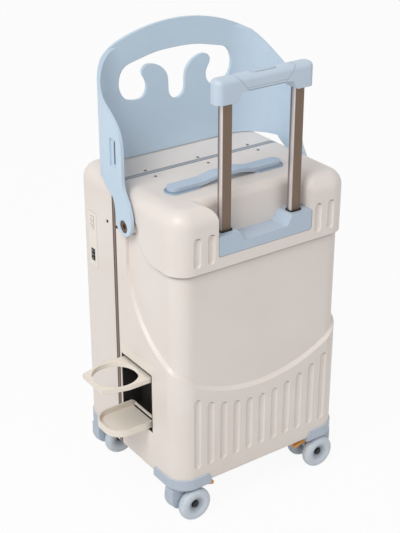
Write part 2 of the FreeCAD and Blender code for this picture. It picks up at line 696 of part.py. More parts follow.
def lock():
    """The lock in the lid's side: a panel, three number dials on an axle, and a push button."""
    stack_low = ("dial_across", "lock_middle", "dial_bottom - dial_gap")
    axle_low = ("dial_across", "lock_middle", "dial_bottom - dial_gap - dial_height")
    axle_length = "dial_stack + 2 * dial_height"
    panel = rounded_block("lock_panel_block", ("lock_depth + lock_proud", "lock_width", "lock_height"),
                          ("-half_case - lock_proud", "lock_back", "lock_bottom"), "lock_proud")
    room = drum("dial_room", "z", "dial_radius + dial_play", "dial_stack", stack_low)
    axle_hole = drum("dial_axle_hole", "z", "dial_axle_radius", axle_length, axle_low)
    button_room = block(
        "lock_button_room",
        ("lock_button_depth + lock_button_travel + lock_proud", "lock_button_width + 2 * button_play",
         "lock_button_height + 2 * button_play"),
        ("-half_case - lock_proud", "lock_middle - lock_button_width / 2 - button_play",
         "lock_button_bottom - button_play"))
    node(cut("lock_panel", panel, room, axle_hole, button_room), "lock_panel")
    node(drum("lock_axle", "z", "dial_axle_radius", axle_length, axle_low), "lock_axle")
    bore = drum("dial_bore", "z", "dial_axle_radius + pin_play", "dial_stack", stack_low)
    for count in range(3):
        low = "dial_bottom + %d * (dial_height + dial_gap)" % count
        name = "lock_dial_%d" % (count + 1)
        disc = drum(name + "_disc", "z", "dial_radius", "dial_height", ("dial_across", "lock_middle", low))
        node(cut(name, disc, bore), name)
    button = rounded_block(
        "lock_button", ("lock_button_depth + lock_proud", "lock_button_width", "lock_button_height"),
        ("-half_case - 2 * lock_proud", "lock_middle - lock_button_width / 2", "lock_button_bottom"),
        "lock_proud")
    node(button, "lock_button")


# The guard


def guard_point(shares):
    """A place beside the guard's pivot from shares of the arm's end radius."""
    radius = size("arm_radius")
    return shares[0] * radius - size("pivot_back"), size("pivot_height") + shares[1] * radius


def guard_side():
    """The guard seen from the side: arms with round ends, wings, and room for the front panel."""
    front, above = size("guard_front") + size("cut_margin"), size("guard_top") + size("cut_margin")
    lower = size("guard_lower")
    rear_edge = [guard_point(shares) for shares in WING_REAR_SHARES]
    front_edge = [guard_point(shares) for shares in WING_FRONT_SHARES[:-1]]
    front_edge.append((guard_point(WING_FRONT_SHARES[-1])[0], lower))
    rear_top = rear_edge[-1]
    arm_end = arc(front_edge[0], guard_point(ARM_LOW_SHARES), rear_edge[0])
    panel = chain([rear_top, (rear_top[0], above), (front, above), (front, lower), front_edge[-1]])
    curves = [arm_end, spline(rear_edge), spline(front_edge)] + panel
    return slab("guard_side", "YZ_Plane", curves, "2 * (guard_outside + cut_margin)")


def guard_front_view():
    """The guard seen from the front: an arch."""
    wide = size("guard_outside") + size("cut_margin")
    radius, top = size("guard_arch_radius"), size("guard_top")
    shoulder = top - radius + math.sqrt(radius ** 2 - wide ** 2)
    floor = size("pivot_height") - 2 * size("arm_radius")
    curves = [arc((-wide, shoulder), (0, top), (wide, shoulder))]
    curves += chain([(wide, shoulder), (wide, floor), (-wide, floor), (-wide, shoulder)])
    return slab("guard_front_view", "XZ_Plane", curves, "2 * case_depth")


def handhold():
    """The antler-shaped hand-hold through the front panel."""
    half, low, tall = size("handhold_half_width"), size("handhold_bottom"), size("handhold_height")
    right = [(across * half, low + up * tall) for across, up in HANDHOLD_SHARES]
    left = [(-across, up) for across, up in reversed(right[1:-1])]
    return slab("handhold", "XZ_Plane", [spline(right + left, True)], "2 * (guard_front + cut_margin)")


def guard_sheet():
    """The guard's U-shaped sheet before its holes, trimmed to its outlines from the side and the front."""
    low, tall = "pivot_height - 2 * arm_radius", "guard_top - pivot_height + 3 * arm_radius"
    outer = rounded_block(
        "guard_outer", ("2 * guard_outside", "case_depth", tall),
        ("-guard_outside", "guard_front - case_depth", low), "guard_corner + guard_thickness")
    inner = rounded_block(
        "guard_inner", ("2 * guard_inside", "case_depth", tall),
        ("-guard_inside", "guard_front - guard_thickness - case_depth", low), "guard_corner")
    wings = common("guard_wings", cut("guard_bent", outer, inner), guard_side())
    return common("guard_sheet", wings, guard_front_view())


def belt_slots():
    """The slots for a belt through both wings, and the shallow rests beside them on the outside."""
    back = "-belt_slot_back - belt_slot_width / 2"
    slots = rounded_block("belt_slots", ("2 * guard_outside", "belt_slot_width", "belt_slot_height"),
                          ("-guard_outside", back, "belt_slot_bottom"), "belt_slot_width / 4")
    room = block("belt_rest_room",
                 ("2 * guard_outside", "belt_rest_width", "belt_slot_height + belt_slot_width"),
                 ("-guard_outside", back, "belt_slot_bottom - belt_slot_width / 2"))
    core = block("belt_rest_core",
                 ("2 * (guard_outside - belt_rest_sink)", "3 * belt_rest_width", "2 * belt_slot_height"),
                 ("belt_rest_sink - guard_outside", "-belt_slot_back - belt_rest_width",
                  "belt_slot_bottom - belt_slot_height / 2"))
    return slots, cut("belt_rests", room, core)


def guard():
    """The U-shaped guard: front panel, two wings with belt slots, and two arms with pivot holes."""
    pivots = drum("guard_pivot_holes", "x", "pivot_hole_radius", "2 * guard_outside",
                  ("-guard_outside", "-pivot_back", "pivot_height"))
    return node(cut("guard", guard_sheet(), handhold(), pivots, *belt_slots()), "guard")


def guard_pivots():
    """The two bolts that the guard turns on, each with a socket in its head."""
    bolts = []
    shanks = pivot_drums("pivot_shank", "pivot_shank_radius")
    starts = (("left", "-pivot_face", "-pivot_face"),
              ("right", "pivot_wall", "pivot_face - pivot_socket_depth"))
    for shank, (side, collar_start, socket_start) in zip(shanks, starts):
        collar = drum("pivot_collar_" + side, "x", "pivot_hole_radius - pin_play", "pivot_face - pivot_wall",
                      (collar_start, "-pivot_back", "pivot_height"))
        socket = drum("pivot_socket_" + side, "x", "pivot_socket_radius", "pivot_socket_depth",
                      (socket_start, "-pivot_back", "pivot_height"))
        bolts.append(cut("pivot_bolt_" + side, join("pivot_body_" + side, [collar, shank]), socket))
    return node(group("guard_pivots", bolts), "guard_pivots")


# The telescopic handle


def trolley_base():
    """The base in the recess: two raised sockets with a lowered trough between them."""
    half, low, edge = size("base_half_width"), size("base_bottom"), size("base_round")
    top, trough = size("base_top"), size("base_trough")
    inner, slope = size("socket_inner"), size("socket_slope")
    corners = [(-half, low, edge), (half, low, edge), (half, top, 0), (inner, top, edge / 2),
               (inner - slope, trough, edge), (slope - inner, trough, edge), (-inner, top, edge / 2),
               (-half, top, 0)]
    body = slab("base_block", "XZ_Plane", rounded_outline(corners), "base_depth",
                ("0", "base_depth / 2 - rear_depth", "0"))
    rooms = tube_rooms("base_tube_room", "tube_play", "base_bottom - shell_skin", "base_top + shell_skin")
    return node(cut("trolley_base", body, join("base_tube_rooms", rooms)), "trolley_base")


def sleeves(name, outer_grow, inner_grow, low, high):
    """A pair of hollow sleeves on the lines of the handle tubes."""
    outer = tube_rooms(name + "_outer", outer_grow, low, high)
    inner = tube_rooms(name + "_inner", inner_grow, low + " - shell_skin", high + " + shell_skin")
    pair = [cut("%s_%s" % (name, side[0]), tube, hole) for side, tube, hole in zip(SIDES, outer, inner)]
    return group(name, pair)


def trolley_sleeves():
    """The seals on the sockets, the fixed guides inside the case, and the two sliding tubes."""
    node(sleeves("trolley_seals", "tube_play + seal_width", "tube_play", "base_top",
                 "base_top + seal_height"), "trolley_seals")
    node(sleeves("trolley_guides", "tube_play + guide_wall", "tube_play", "shell_bottom + wall_inset",
                 "base_bottom - shell_skin"), "trolley_guides")
    node(sleeves("trolley_tubes", "0", "-tube_wall", "tube_bottom", "tube_top"), "trolley_tubes")


def trolley_grip():
    """The grip across the tubes, deeper at its ends, with the release button in its top."""
    half, top, low = size("grip_half_width"), size("grip_top"), size("grip_bottom")
    end_low, slope, bend = size("grip_end_bottom"), size("grip_slope"), size("grip_bend")
    inner = half - size("grip_end_width")
    corners = [(-half, top, 0), (-half, end_low, 0), (-inner, end_low, bend / 2), (slope - inner, low, bend),
               (inner - slope, low, bend), (inner, end_low, bend / 2), (half, end_low, 0), (half, top, 0)]
    side = slab("grip_side", "XZ_Plane", rounded_outline(corners), "grip_depth", ("0", "-tube_back", "0"))
    plan = rounded_block("grip_plan", ("2 * grip_half_width", "grip_depth", "grip_end_height"),
                         ("-grip_half_width", "-tube_back - grip_depth / 2", "grip_end_bottom"),
                         "grip_round", "grip_edge")
    rooms = tube_rooms("grip_tube_room", "0", "grip_end_bottom - shell_skin", "tube_top")
    room = rounded_block(
        "button_room",
        ("button_length + 2 * button_play", "button_width + 2 * button_play",
         "button_height + button_travel"),
        ("-button_length / 2 - button_play", "-tube_back - button_width / 2 - button_play",
         "button_bottom - button_travel"), "button_width / 2 - button_play")
    grip = cut("trolley_grip", common("grip_block", side, plan), join("grip_tube_rooms", rooms), room)
    node(grip, "trolley_grip")
    button = rounded_block(
        "trolley_button", ("button_length", "button_width", "button_height"),
        ("-button_length / 2", "-tube_back - button_width / 2", "button_bottom"),
        "button_width / 2 - button_play", "button_proud / 2")
    node(button, "trolley_button")


# The carry handle


def carry_strap():
    """The strap: flat at both ends, with a raised middle."""
    half, slope, thick = size("strap_half_length"), size("strap_slope"), size("strap_thickness")
    low = size("shell_top") + size("foot_height")
    mid = low + size("strap_rise")
    inner, bend = half - size("strap_foot"), 2 * slope
    under = [(-half, low, 0), (-inner, low, bend), (slope - inner, mid, bend), (inner - slope, mid, bend),
             (inner, low, bend), (half, low, 0)]
    over = [(across, up + thick, radius) for across, up, radius in reversed(under)]
    side = slab("strap_side", "XZ_Plane", rounded_outline(under + over), "strap_width",
                ("strap_shift", "-strap_back", "0"))
    plan = rounded_block(
        "strap_plan", ("2 * strap_half_length", "strap_width", "4 * strap_rise + strap_thickness"),
        ("strap_shift - strap_half_length", "-strap_back - strap_width / 2", "shell_top - strap_rise"),
        "strap_width / 2 - button_play")
    return common("strap", side, plan)


def carry_handle():
    """The strap with its two posts, which slide in the shell."""
    posts = post_drums("post", "post_radius", "post_length + strap_thickness / 2", "post_bottom")
    heads = post_drums("post_head", "post_head_radius", "post_head_height", "post_bottom - post_head_height")
    return node(join("carry_handle", [carry_strap()] + posts + heads), "carry_handle")


def carry_handle_feet():
    """The two plates that the strap rests on."""
    feet = []
    holes = post_drums("foot_hole", "post_radius + post_play", "2 * foot_height", "shell_top")
    starts = ("-strap_half_length - foot_margin", "strap_half_length + foot_margin - foot_length")
    for (side, _), hole, start in zip(SIDES, holes, starts):
        plate = rounded_block(
            "foot_plate_" + side, ("foot_length", "strap_width + 2 * foot_margin", "foot_height"),
            ("strap_shift + " + start, "-strap_back - strap_width / 2 - foot_margin", "shell_top"),
            "strap_width / 2", "foot_height / 3")
        feet.append(cut("handle_foot_" + side, plate, hole))
    return node(group("carry_handle_feet", feet), "carry_handle_feet")


# The cup holder


def liner_block(name, depth):
    """A block over the outside of the cup holder's liner, from the case's side inwards."""
    return block(name, (depth, "2 * liner_half_width", "liner_height"),
                 ("-half_case", "-cup_back - liner_half_width", "liner_bottom"))


def bezel_block(name):
    """The outside of the cup holder's bezel, level with the side."""
    sides = ("bezel_thickness", "2 * bezel_half_width", "liner_height + bezel_border + bezel_head")
    return block(name, sides, ("-half_case", "-cup_back - bezel_half_width", "liner_bottom - bezel_border"))


def flap_pins(name, radius, across, height):
    """A rod along one of the cup holder's hinge lines."""
    return drum(name, "y", radius, "2 * mouth_half_width + flap_pin_length",
                (across, "-cup_back - mouth_half_width - flap_pin_length / 2", height))


def cup_liner():
    """The dark box in the side with holes for the flaps' pins, and the bezel round its mouth."""
    inner = block("liner_inner", ("liner_depth - liner_wall", "2 * mouth_half_width", "mouth_height"),
                  ("-half_case", "-cup_back - mouth_half_width", "mouth_bottom"))
    bore = "flap_pin_radius + pin_play"
    ring_bore = flap_pins("ring_bore", bore, "ring_hinge_across", "ring_hinge_height")
    tray_bore = flap_pins("tray_bore", bore, "tray_hinge_across", "tray_hinge_height")
    outer = liner_block("liner_outer", "liner_depth")
    hole = liner_block("bezel_hole", "bezel_thickness")
    node(cut("cup_liner", outer, inner, ring_bore, tray_bore), "cup_liner")
    node(cut("cup_bezel", bezel_block("bezel_plate"), hole), "cup_bezel")


def cup_ring():
    """The upper flap: a plate with a round hole for the cup, on pins at its inner end."""
    inner, middle, half = size("ring_hinge_across"), -size("cup_back"), size("ring_half_width")
    outer, shoulder = inner - size("ring_reach"), inner - size("ring_hole_reach")
    edge = half - size("ring_edge_inset")
    corners = [(inner, middle - half, 0), (inner, middle + half, 0), (shoulder, middle + half, half),
               (outer, middle + edge, 0), (outer, middle - edge, 0), (shoulder, middle - half, half)]
    plate = slab("ring_plate", "XY_Plane", rounded_outline(corners), "ring_thickness",
                 ("0", "0", "ring_hinge_height"))
    hole = drum("ring_hole", "z", "ring_hole_radius", "2 * ring_thickness",
                ("ring_hinge_across - ring_hole_reach", "-cup_back", "ring_hinge_height - ring_thickness"))
    knuckle = drum("ring_knuckle", "y", "ring_thickness / 2", "2 * ring_half_width",
                   ("ring_hinge_across", "-cup_back - ring_half_width", "ring_hinge_height"))
    pins = flap_pins("ring_pins", "flap_pin_radius", "ring_hinge_across", "ring_hinge_height")
    return node(cut("cup_ring", join("cup_ring_whole", [plate, knuckle, pins]), hole), "cup_ring")


def cup_tray():
    """The lower flap: a shallow dish that the cup stands in, on pins at its inner end."""
    axis, middle, half = size("tray_hinge_across"), -size("cup_back"), size("tray_half_width")
    inner, outer = axis - size("tray_start"), axis - size("tray_reach")
    corner, wall = size("tray_corner"), size("tray_wall")

    def plan(less):
        near, far, end = middle - half + less, middle + half - less, outer + less
        return rounded_outline([(inner, near, 0), (inner, far, 0), (end, far, corner - less),
                                (end, near, corner - less)])

    dish = slab("tray_outer", "XY_Plane", plan(0), "tray_depth", ("0", "0", "tray_middle"))
    room = slab("tray_inner", "XY_Plane", plan(wall), "tray_depth", ("0", "0", "tray_middle + tray_wall"))
    lugs = []
    starts = (("near", "-cup_back - tray_half_width"), ("far", "tray_half_width - tray_wall - cup_back"))
    for side, start in starts:
        lugs.append(drum("tray_lug_" + side, "y", "tray_lug / 2", "tray_wall",
                         ("tray_hinge_across", start, "tray_hinge_height")))
        corner = ("tray_hinge_across - tray_start - tray_wall", start, "tray_hinge_height - tray_lug / 2")
        lugs.append(block("tray_arm_" + side, ("tray_start + tray_wall", "tray_wall", "tray_lug"), corner))
    pins = flap_pins("tray_pins", "flap_pin_radius", "tray_hinge_across", "tray_hinge_height")
    return node(join("cup_tray", [cut("tray_dish", dish, room), pins] + lugs), "cup_tray")


# The bumpers and casters


def caster_spot(corner):
    """Where the swivel of a corner's caster is, across and along."""
    across, along = CORNERS[corner]
    depth = "rear_depth" if along == "-1" else "lid_depth"
    return "%s * (half_case - caster_in)" % across, "%s * (%s - caster_back)" % (along, depth)


def bumper_zone(name, corner):
    """The room of a bumper, with its two upper inner edges rounded."""
    across, along = CORNERS[corner]
    sides = ("band_length + cut_margin", "band_side + cut_margin", "band_top - bumper_bottom")
    body, pad = padded(name, sides)
    box = pad.Shape.BoundBox
    inner_x = box.XMax if across == "-1" else box.XMin
    inner_y = box.YMax if along == "-1" else box.YMin

    def inner_edge(edge):
        span = edge.BoundBox
        on_x = abs(span.XMin - inner_x) < SMALL and span.XLength < SMALL
        on_y = abs(span.YMin - inner_y) < SMALL and span.YLength < SMALL
        return abs(span.ZMin - box.ZMax) < SMALL and (on_x or on_y)

    round_edges(body, pad, inner_edge, "band_round", "_ends")
    low_x = "-half_case - cut_margin" if across == "-1" else "half_case - band_length"
    low_y = "-rear_depth - cut_margin" if along == "-1" else "lid_depth - band_side"
    place(body, (low_x, low_y, "bumper_bottom"))
    return body


def bumper(corner, case):
    """The bumper band round one lower corner, with a plate that carries the caster."""
    name = "bumper_" + corner
    grown = rounded_block(
        name + "_grown", ("case_width + 2 * band_step", "case_depth + 2 * band_step", "shell_height"),
        ("-half_case - band_step", "-rear_depth - band_step", "bumper_bottom"), "corner_radius + band_step",
        None, "bottom_radius / 2")
    stem = drum(name + "_stem_hole", "z", "stem_radius + pin_play", "bumper_floor",
                caster_spot(corner) + ("bumper_bottom",))
    band = common(name + "_corner", grown, bumper_zone(name + "_zone", corner))
    return node(cut(name, band, case, stem), name)


def wheel(name):
    """One wheel about the Y axis, from its inner face outwards: a round tyre with a dished face."""
    bore, tyre, edge = size("axle_radius"), size("wheel_radius"), size("wheel_round")
    inside, outside = size("wheel_inside"), size("wheel_outside")
    dish, hub, hub_face = size("dish_radius"), size("hub_radius"), outside - size("hub_sink")
    corners = [(bore, inside, 0), (tyre, inside, edge), (tyre, outside, edge), (dish, outside, edge / 2),
               (hub, outside - size("dish_sink"), 0), (hub, hub_face, 0), (bore, hub_face, 0)]
    body = doc.addObject("PartDesign::Body", name)
    sketch = new_sketch(body, "XY_Plane")
    sketch.addGeometry(rounded_outline(corners))
    turned = body.newObject("PartDesign::Revolution", name + "_turned")
    turned.Profile = sketch
    turned.ReferenceAxis = (sketch, ["V_Axis"])
    turned.Angle = 360
    doc.recompute()
    return body


def caster_fork(corner):
    """The fork between a caster's wheels, with its stem and the bores for axle and pedal."""
    trail, axle, reach = size("caster_trail"), size("wheel_radius"), size("fork_axle_reach")
    back, toe, top, edge = -size("fork_back"), size("fork_toe"), size("fork_top"), size("fork_edge")
    outline = [(back, top, edge), (back, size("fork_low"), size("fork_heel")), (trail, axle - reach, reach),
               (trail + reach, axle, edge), (toe, size("pedal_pivot_height") - edge, edge), (toe, top, edge)]
    web = slab("web_" + corner, "XZ_Plane", rounded_outline(outline), "web_thickness")
    stem = drum("stem_" + corner, "z", "stem_radius", "stem_length", ("0", "0", "fork_top"))
    axle_bore = drum("axle_bore_" + corner, "y", "axle_radius + pin_play", "2 * wheel_outside",
                     ("caster_trail", "-wheel_outside", "wheel_radius"))
    pedal_bore = drum("pedal_bore_" + corner, "y", "pedal_pin_radius + pin_play", "2 * wheel_outside",
                      ("pedal_pivot_reach", "-wheel_outside", "pedal_pivot_height"))
    return cut("fork_" + corner, join("fork_whole_" + corner, [web, stem]), axle_bore, pedal_bore)


def wheel_pair(corner):
    """A caster's two wheels."""
    outer = wheel("wheel_outer_" + corner)
    place(outer, ("caster_trail", "0", "wheel_radius"))
    return group("wheels_" + corner, [outer, mirrored("wheel_inner_" + corner, outer)])


def axle(corner):
    """The rod through a caster's wheels and fork."""
    rod = drum("axle_rod_" + corner, "y", "axle_radius", "2 * (wheel_outside - axle_sink)",
               ("caster_trail", "axle_sink - wheel_outside", "wheel_radius"))
    return group("axle_" + corner, [rod])


def brake_pedal(corner):
    """A pedal across the fork's toe: a sloping plate with two cheeks on a pin."""
    start, top, thick = size("pedal_start"), size("fork_top") - size("pedal_edge"), size("pedal_thickness")
    reach, low, edge = start + size("pedal_length"), top - size("pedal_slant"), size("pedal_edge")
    outline = [(start, top, edge), (reach, low, edge), (reach, low - thick, edge),
               (start, top - thick, edge / 2)]
    plate = slab("pedal_plate_" + corner, "XZ_Plane", rounded_outline(outline), "2 * pedal_half_width")
    pin = drum("pedal_pin_" + corner, "y", "pedal_pin_radius", "2 * pedal_half_width",
               ("pedal_pivot_reach", "-pedal_half_width", "pedal_pivot_height"))
    pieces = [plate, pin]
    arm_sides = ("pedal_start - pedal_pivot_reach + pedal_edge", "pedal_cheek", "pedal_cheek_radius")
    for side, low_y in (("near", "-pedal_half_width"), ("far", "pedal_half_width - pedal_cheek")):
        spot = ("pedal_pivot_reach", low_y, "pedal_pivot_height")
        name = "%s_%s" % (corner, side)
        pieces.append(drum("pedal_cheek_" + name, "y", "pedal_cheek_radius", "pedal_cheek", spot))
        pieces.append(block("pedal_arm_" + name, arm_sides, spot))
    return join("pedal_" + corner, pieces)


def caster(corner):
    """One caster: a fork on a stem, two wheels on an axle, and a brake pedal, trailing inwards."""
    turn = Rotation(Vector(0, 0, 1), 0 if CORNERS[corner][0] == "-1" else 180)
    pieces = (("caster_fork_", caster_fork(corner)), ("wheels_", wheel_pair(corner)), ("axle_", axle(corner)),
              ("brake_pedal_", brake_pedal(corner)))
    for label, item in pieces:
        item.Placement = Placement(Vector(), turn)
        place(item, caster_spot(corner) + ("0",))
        node(item, label + corner)


# The whole case


def build():
    """Every sub-part in turn."""
    case = case_block("case_form")
    rear_shell(case)
    front_lid(case)
    frame_ring("rear_frame", case, "-frame_strip", "0")
    frame_ring("lid_frame", case, "0", "frame_strip")
    frame_rivets("rear_rivets", "-rear_rivet_back", "-rear_rivet_side")
    frame_rivets("lid_rivets", "lid_rivet_back", "lid_rivet_side")
    hinges()
    lock()
    guard()
    guard_pivots()
    trolley_base()
    trolley_sleeves()
    trolley_grip()
    carry_handle()
    carry_handle_feet()
    cup_liner()
    cup_ring()
    cup_tray()
    for corner in CORNERS:
        bumper(corner, case)
        caster(corner)


def check():
    """Stops at any object that failed and any sub-part without a sound solid."""
    doc.recompute()
    for item in doc.Objects:
        if "Invalid" in item.State or "Error" in item.State:
            raise RuntimeError("%s did not build: %s" % (item.Name, item.State))
    for item in nodes:
        if item.Shape.isNull() or not item.Shape.isValid() or not item.Shape.Solids:
            raise RuntimeError("%s has no sound solid" % item.Label)


def write():
    """Writes each sub-part with the middle of the footprint's box as origin."""
    footprint = FreeCAD.BoundBox()
    for item in nodes:
        footprint.add(item.Shape.optimalBoundingBox())
    shift = Vector(-footprint.Center.x, -footprint.Center.y, -footprint.ZMin)
    os.makedirs("parts", exist_ok=True)
    for item in nodes:
        shape = item.Shape.copy()
        shape.translate(shift)
        shape.exportStep("parts/%s.step" % item.Label)
    print("moved by", [round(value, 4) for value in shift], "box", footprint)


build()
check()
write()
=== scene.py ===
import math
from collections import namedtuple
import bmesh
import bpy
from mathutils import Matrix, Vector

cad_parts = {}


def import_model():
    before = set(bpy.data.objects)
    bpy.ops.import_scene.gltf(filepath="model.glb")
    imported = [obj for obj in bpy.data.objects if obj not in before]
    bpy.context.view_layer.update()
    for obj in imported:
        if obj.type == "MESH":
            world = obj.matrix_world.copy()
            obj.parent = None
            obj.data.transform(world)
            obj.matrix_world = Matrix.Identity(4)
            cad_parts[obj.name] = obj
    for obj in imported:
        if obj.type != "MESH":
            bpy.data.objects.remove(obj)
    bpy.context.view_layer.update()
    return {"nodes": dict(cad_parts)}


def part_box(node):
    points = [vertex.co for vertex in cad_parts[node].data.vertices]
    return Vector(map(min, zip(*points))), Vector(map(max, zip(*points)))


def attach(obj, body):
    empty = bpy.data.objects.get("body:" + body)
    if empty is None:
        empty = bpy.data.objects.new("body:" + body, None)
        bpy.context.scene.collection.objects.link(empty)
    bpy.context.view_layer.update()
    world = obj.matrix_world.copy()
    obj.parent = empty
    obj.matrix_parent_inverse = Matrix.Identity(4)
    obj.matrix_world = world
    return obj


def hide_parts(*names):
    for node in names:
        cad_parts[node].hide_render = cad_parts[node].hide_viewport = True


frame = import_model()
nodes = frame["nodes"]

# Everything is in metres in the CAD model's frame: X to the right seen from the handle's side,
# Y from the handle's side to the lid, Z up from the floor. Sizes and places are read from the
# CAD nodes' boxes where a node gives them.
MM = 0.001
CORNERS = ("rear_left", "rear_right", "front_left", "front_right")
frame_low, frame_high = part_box("rear_frame")
SEAM = frame_high.y
CASE_MIDDLE = (frame_low.x + frame_high.x) / 2
CASE_BOTTOM = frame_low.z
CASE_TOP = frame_high.z

# Sizes of the CAD model that no box gives
CAP_HEIGHT = 101 * MM
BELT_SLOT_BACK, BELT_SLOT_RISE = 21 * MM, 36 * MM
BELT_SLOT_WIDTH, BELT_SLOT_HEIGHT = 8 * MM, 36 * MM
GRIP_HEIGHT = 23 * MM
RIVET_RADIUS, RIVET_HEIGHT, RIVET_PITCH = 2.6 * MM, 1.0 * MM, 100 * MM

WHITE = (1.0, 1.0, 1.0, 1.0)
Axes = namedtuple("Axes", "x y z")


# Shader maths


class Value:
    """A shader socket that sums can be written with."""

    def __init__(self, owner, socket):
        self.owner = owner
        self.socket = socket

    def math(self, operation, *values):
        return self.owner.node("ShaderNodeMath", {"operation": operation}, dict(enumerate(values)))

    def __add__(self, other):
        return self.math("ADD", self, other)

    def __radd__(self, other):
        return self.math("ADD", other, self)

    def __sub__(self, other):
        return self.math("SUBTRACT", self, other)

    def __rsub__(self, other):
        return self.math("SUBTRACT", other, self)

    def __mul__(self, other):
        return self.math("MULTIPLY", self, other)

    def __rmul__(self, other):
        return self.math("MULTIPLY", other, self)

    def __truediv__(self, other):
        return self.math("DIVIDE", self, other)

    def __abs__(self):
        return self.math("ABSOLUTE", self)

    def power(self, exponent):
        return self.math("POWER", self, exponent)

    def larger(self, other):
        return self.math("MAXIMUM", self, other)


class Nodes:
    """A node tree, with one way to add a node and one to feed a socket."""

    def __init__(self, tree):
        self.tree = tree

    def node(self, kind, settings=None, inputs=None, output=0):
        """Adds a node with its settings, then its inputs as numbers or links, and gives one output."""
        made = self.tree.nodes.new(kind)
        for name, setting in (settings or {}).items():
            setattr(made, name, setting)
        for name, value in (inputs or {}).items():
            self.feed(made.inputs[name], value)
        return Value(self, made.outputs[output])

    def feed(self, socket, value):
        """Links a value to a socket, or sets a number there."""
        if isinstance(value, Value):
            self.tree.links.new(value.socket, socket)
        else:
            socket.default_value = value

    def split(self, value):
        """All the outputs of the node that a value comes from, by name."""
        return {socket.name: Value(self, socket) for socket in value.socket.node.outputs}

    def looked_at(self):
        """1 for a ray that looks, straight, by a mirror or through glass, and 0 for one that lights."""
        rays = self.split(self.node("ShaderNodeLightPath"))
        return rays["Is Camera Ray"].larger(rays["Is Glossy Ray"]).larger(rays["Is Transmission Ray"])


class Finish(Nodes):
    """One material: a node tree round a Principled shader, with a few ways to read a surface."""

    def __init__(self, name):
        self.material = bpy.data.materials.new(name)
        self.material.use_nodes = True
        super().__init__(self.material.node_tree)
        self.shader = self.tree.nodes["Principled BSDF"]

    def axes(self, coordinate):
        """The X, Y and Z of a texture coordinate."""
        spot = self.node("ShaderNodeTexCoord", output=coordinate)
        parts = self.split(self.node("ShaderNodeSeparateXYZ", inputs={0: spot}))
        return Axes(parts["X"], parts["Y"], parts["Z"])

    def place(self):
        """Where a point of the surface is."""
        return self.axes("Object")

    def outward(self):
        """How far the surface faces along each axis, below zero against it."""
        return self.axes("Normal")

    def noise(self, scale, detail, stretch=(1.0, 1.0, 1.0)):
        """Soft cloudy noise from 0 to 1; scale is in clouds a metre, and stretch is along each axis."""
        spot = self.node("ShaderNodeTexCoord", output="Object")
        stretched = self.node("ShaderNodeMapping", inputs={"Vector": spot, "Scale": stretch})
        return self.node("ShaderNodeTexNoise", inputs={
            "Vector": stretched, "Scale": scale, "Detail": detail})

    def rise(self, value, low, high):
        """0 under low, 1 over high, and smooth between them."""
        return self.node("ShaderNodeMapRange", {"interpolation_type": "SMOOTHSTEP"}, {
            "Value": value, "From Min": low, "From Max": high})

    def fall(self, value, low, high):
        """1 under low, 0 over high, and smooth between them."""
        return 1.0 - self.rise(value, low, high)

    def within(self, value, middle, half, soft):
        """1 within half a width of the middle, and 0 past a soft edge."""
        return self.fall(abs(value - middle), low=half, high=half + soft)

    def line(self, value, middle, width):
        """1 on a thin line where the value is near the middle, and 0 off it."""
        return self.within(value, middle, half=width / 2, soft=width / 2)

    def outline(self, low, high, width):
        """1 on a thin line round a box as it is seen along X, and 0 off it."""
        place = self.place()
        sides = self.line(place.y, low.y, width).larger(self.line(place.y, high.y, width))
        ends = self.line(place.z, low.z, width).larger(self.line(place.z, high.z, width))
        return sides.larger(ends)

    def mix(self, share, first, second):
        """A colour between two colours."""
        return self.node("ShaderNodeMix", {"data_type": "RGBA"}, {0: share, 6: first, 7: second}, output=2)

    def tint(self, colour, mask, strength, other):
        """A colour that goes over to another, by a strength, where a mask is 1."""
        return self.mix(strength * mask, colour, other)

    def soft_edges(self, radius):
        """The surface's normal with its sharp edges rounded off."""
        return self.node("ShaderNodeBevel", {"samples": 6}, {"Radius": radius})

    def bump(self, height, depth, normal):
        """A normal that follows a height from 0 to 1."""
        return self.node("ShaderNodeBump", inputs={
            "Strength": 1.0, "Distance": depth, "Height": height, "Normal": normal})

    def relief(self, height, depth, edge):
        """A normal that follows a height, on a surface with its sharp edges rounded off."""
        return self.bump(height, depth, self.soft_edges(edge))

    def finish(self, colour, roughness, normal, metallic=0.0, **plain):
        """Ends the material: what changes over the surface, then plain numbers on the shader's sockets."""
        self.feed(self.shader.inputs["Base Color"], colour)
        self.feed(self.shader.inputs["Roughness"], roughness)
        self.feed(self.shader.inputs["Normal"], normal)
        self.feed(self.shader.inputs["Metallic"], metallic)
        for name, number in plain.items():
            self.shader.inputs[name.replace("_", " ").title()].default_value = number
        return self.material


def paint(red, green, blue):
    """A colour as the eye reads it, from 0 to 255, as the shader's linear colour."""
    def linear(level):
        share = level / 255
        return share / 12.92 if share <= 0.04045 else ((share + 0.055) / 1.055) ** 2.4
    return (linear(red), linear(green), linear(blue), 1.0)


# Finishes


def moulded(name, light, dark, roughness, edge, grain=2400.0, depth=0.02 * MM):
    """Moulded plastic: a slow drift between two tints, fine grain and rounded edges."""
    finish = Finish(name)
    drift = finish.rise(finish.noise(scale=7.0, detail=2.0), low=0.3, high=0.7)
    speck = finish.noise(scale=grain, detail=2.0)
    spread = 0.08
    normal = finish.relief(speck, depth, edge)
    return finish, finish.mix(drift, dark, light), roughness + spread * (speck - 0.5), normal


def clouded(
        name, dark, light, scale, detail, roughness, spread, depth, edge, stretch=(1.0, 1.0, 1.0), **plain):
    """A finish whose tint, roughness and relief all follow one noise."""
    finish = Finish(name)
    cloud = finish.noise(scale, detail, stretch)
    normal = finish.relief(cloud, depth, edge)
    return finish.finish(finish.mix(cloud, dark, light), roughness + spread * cloud, normal, **plain)


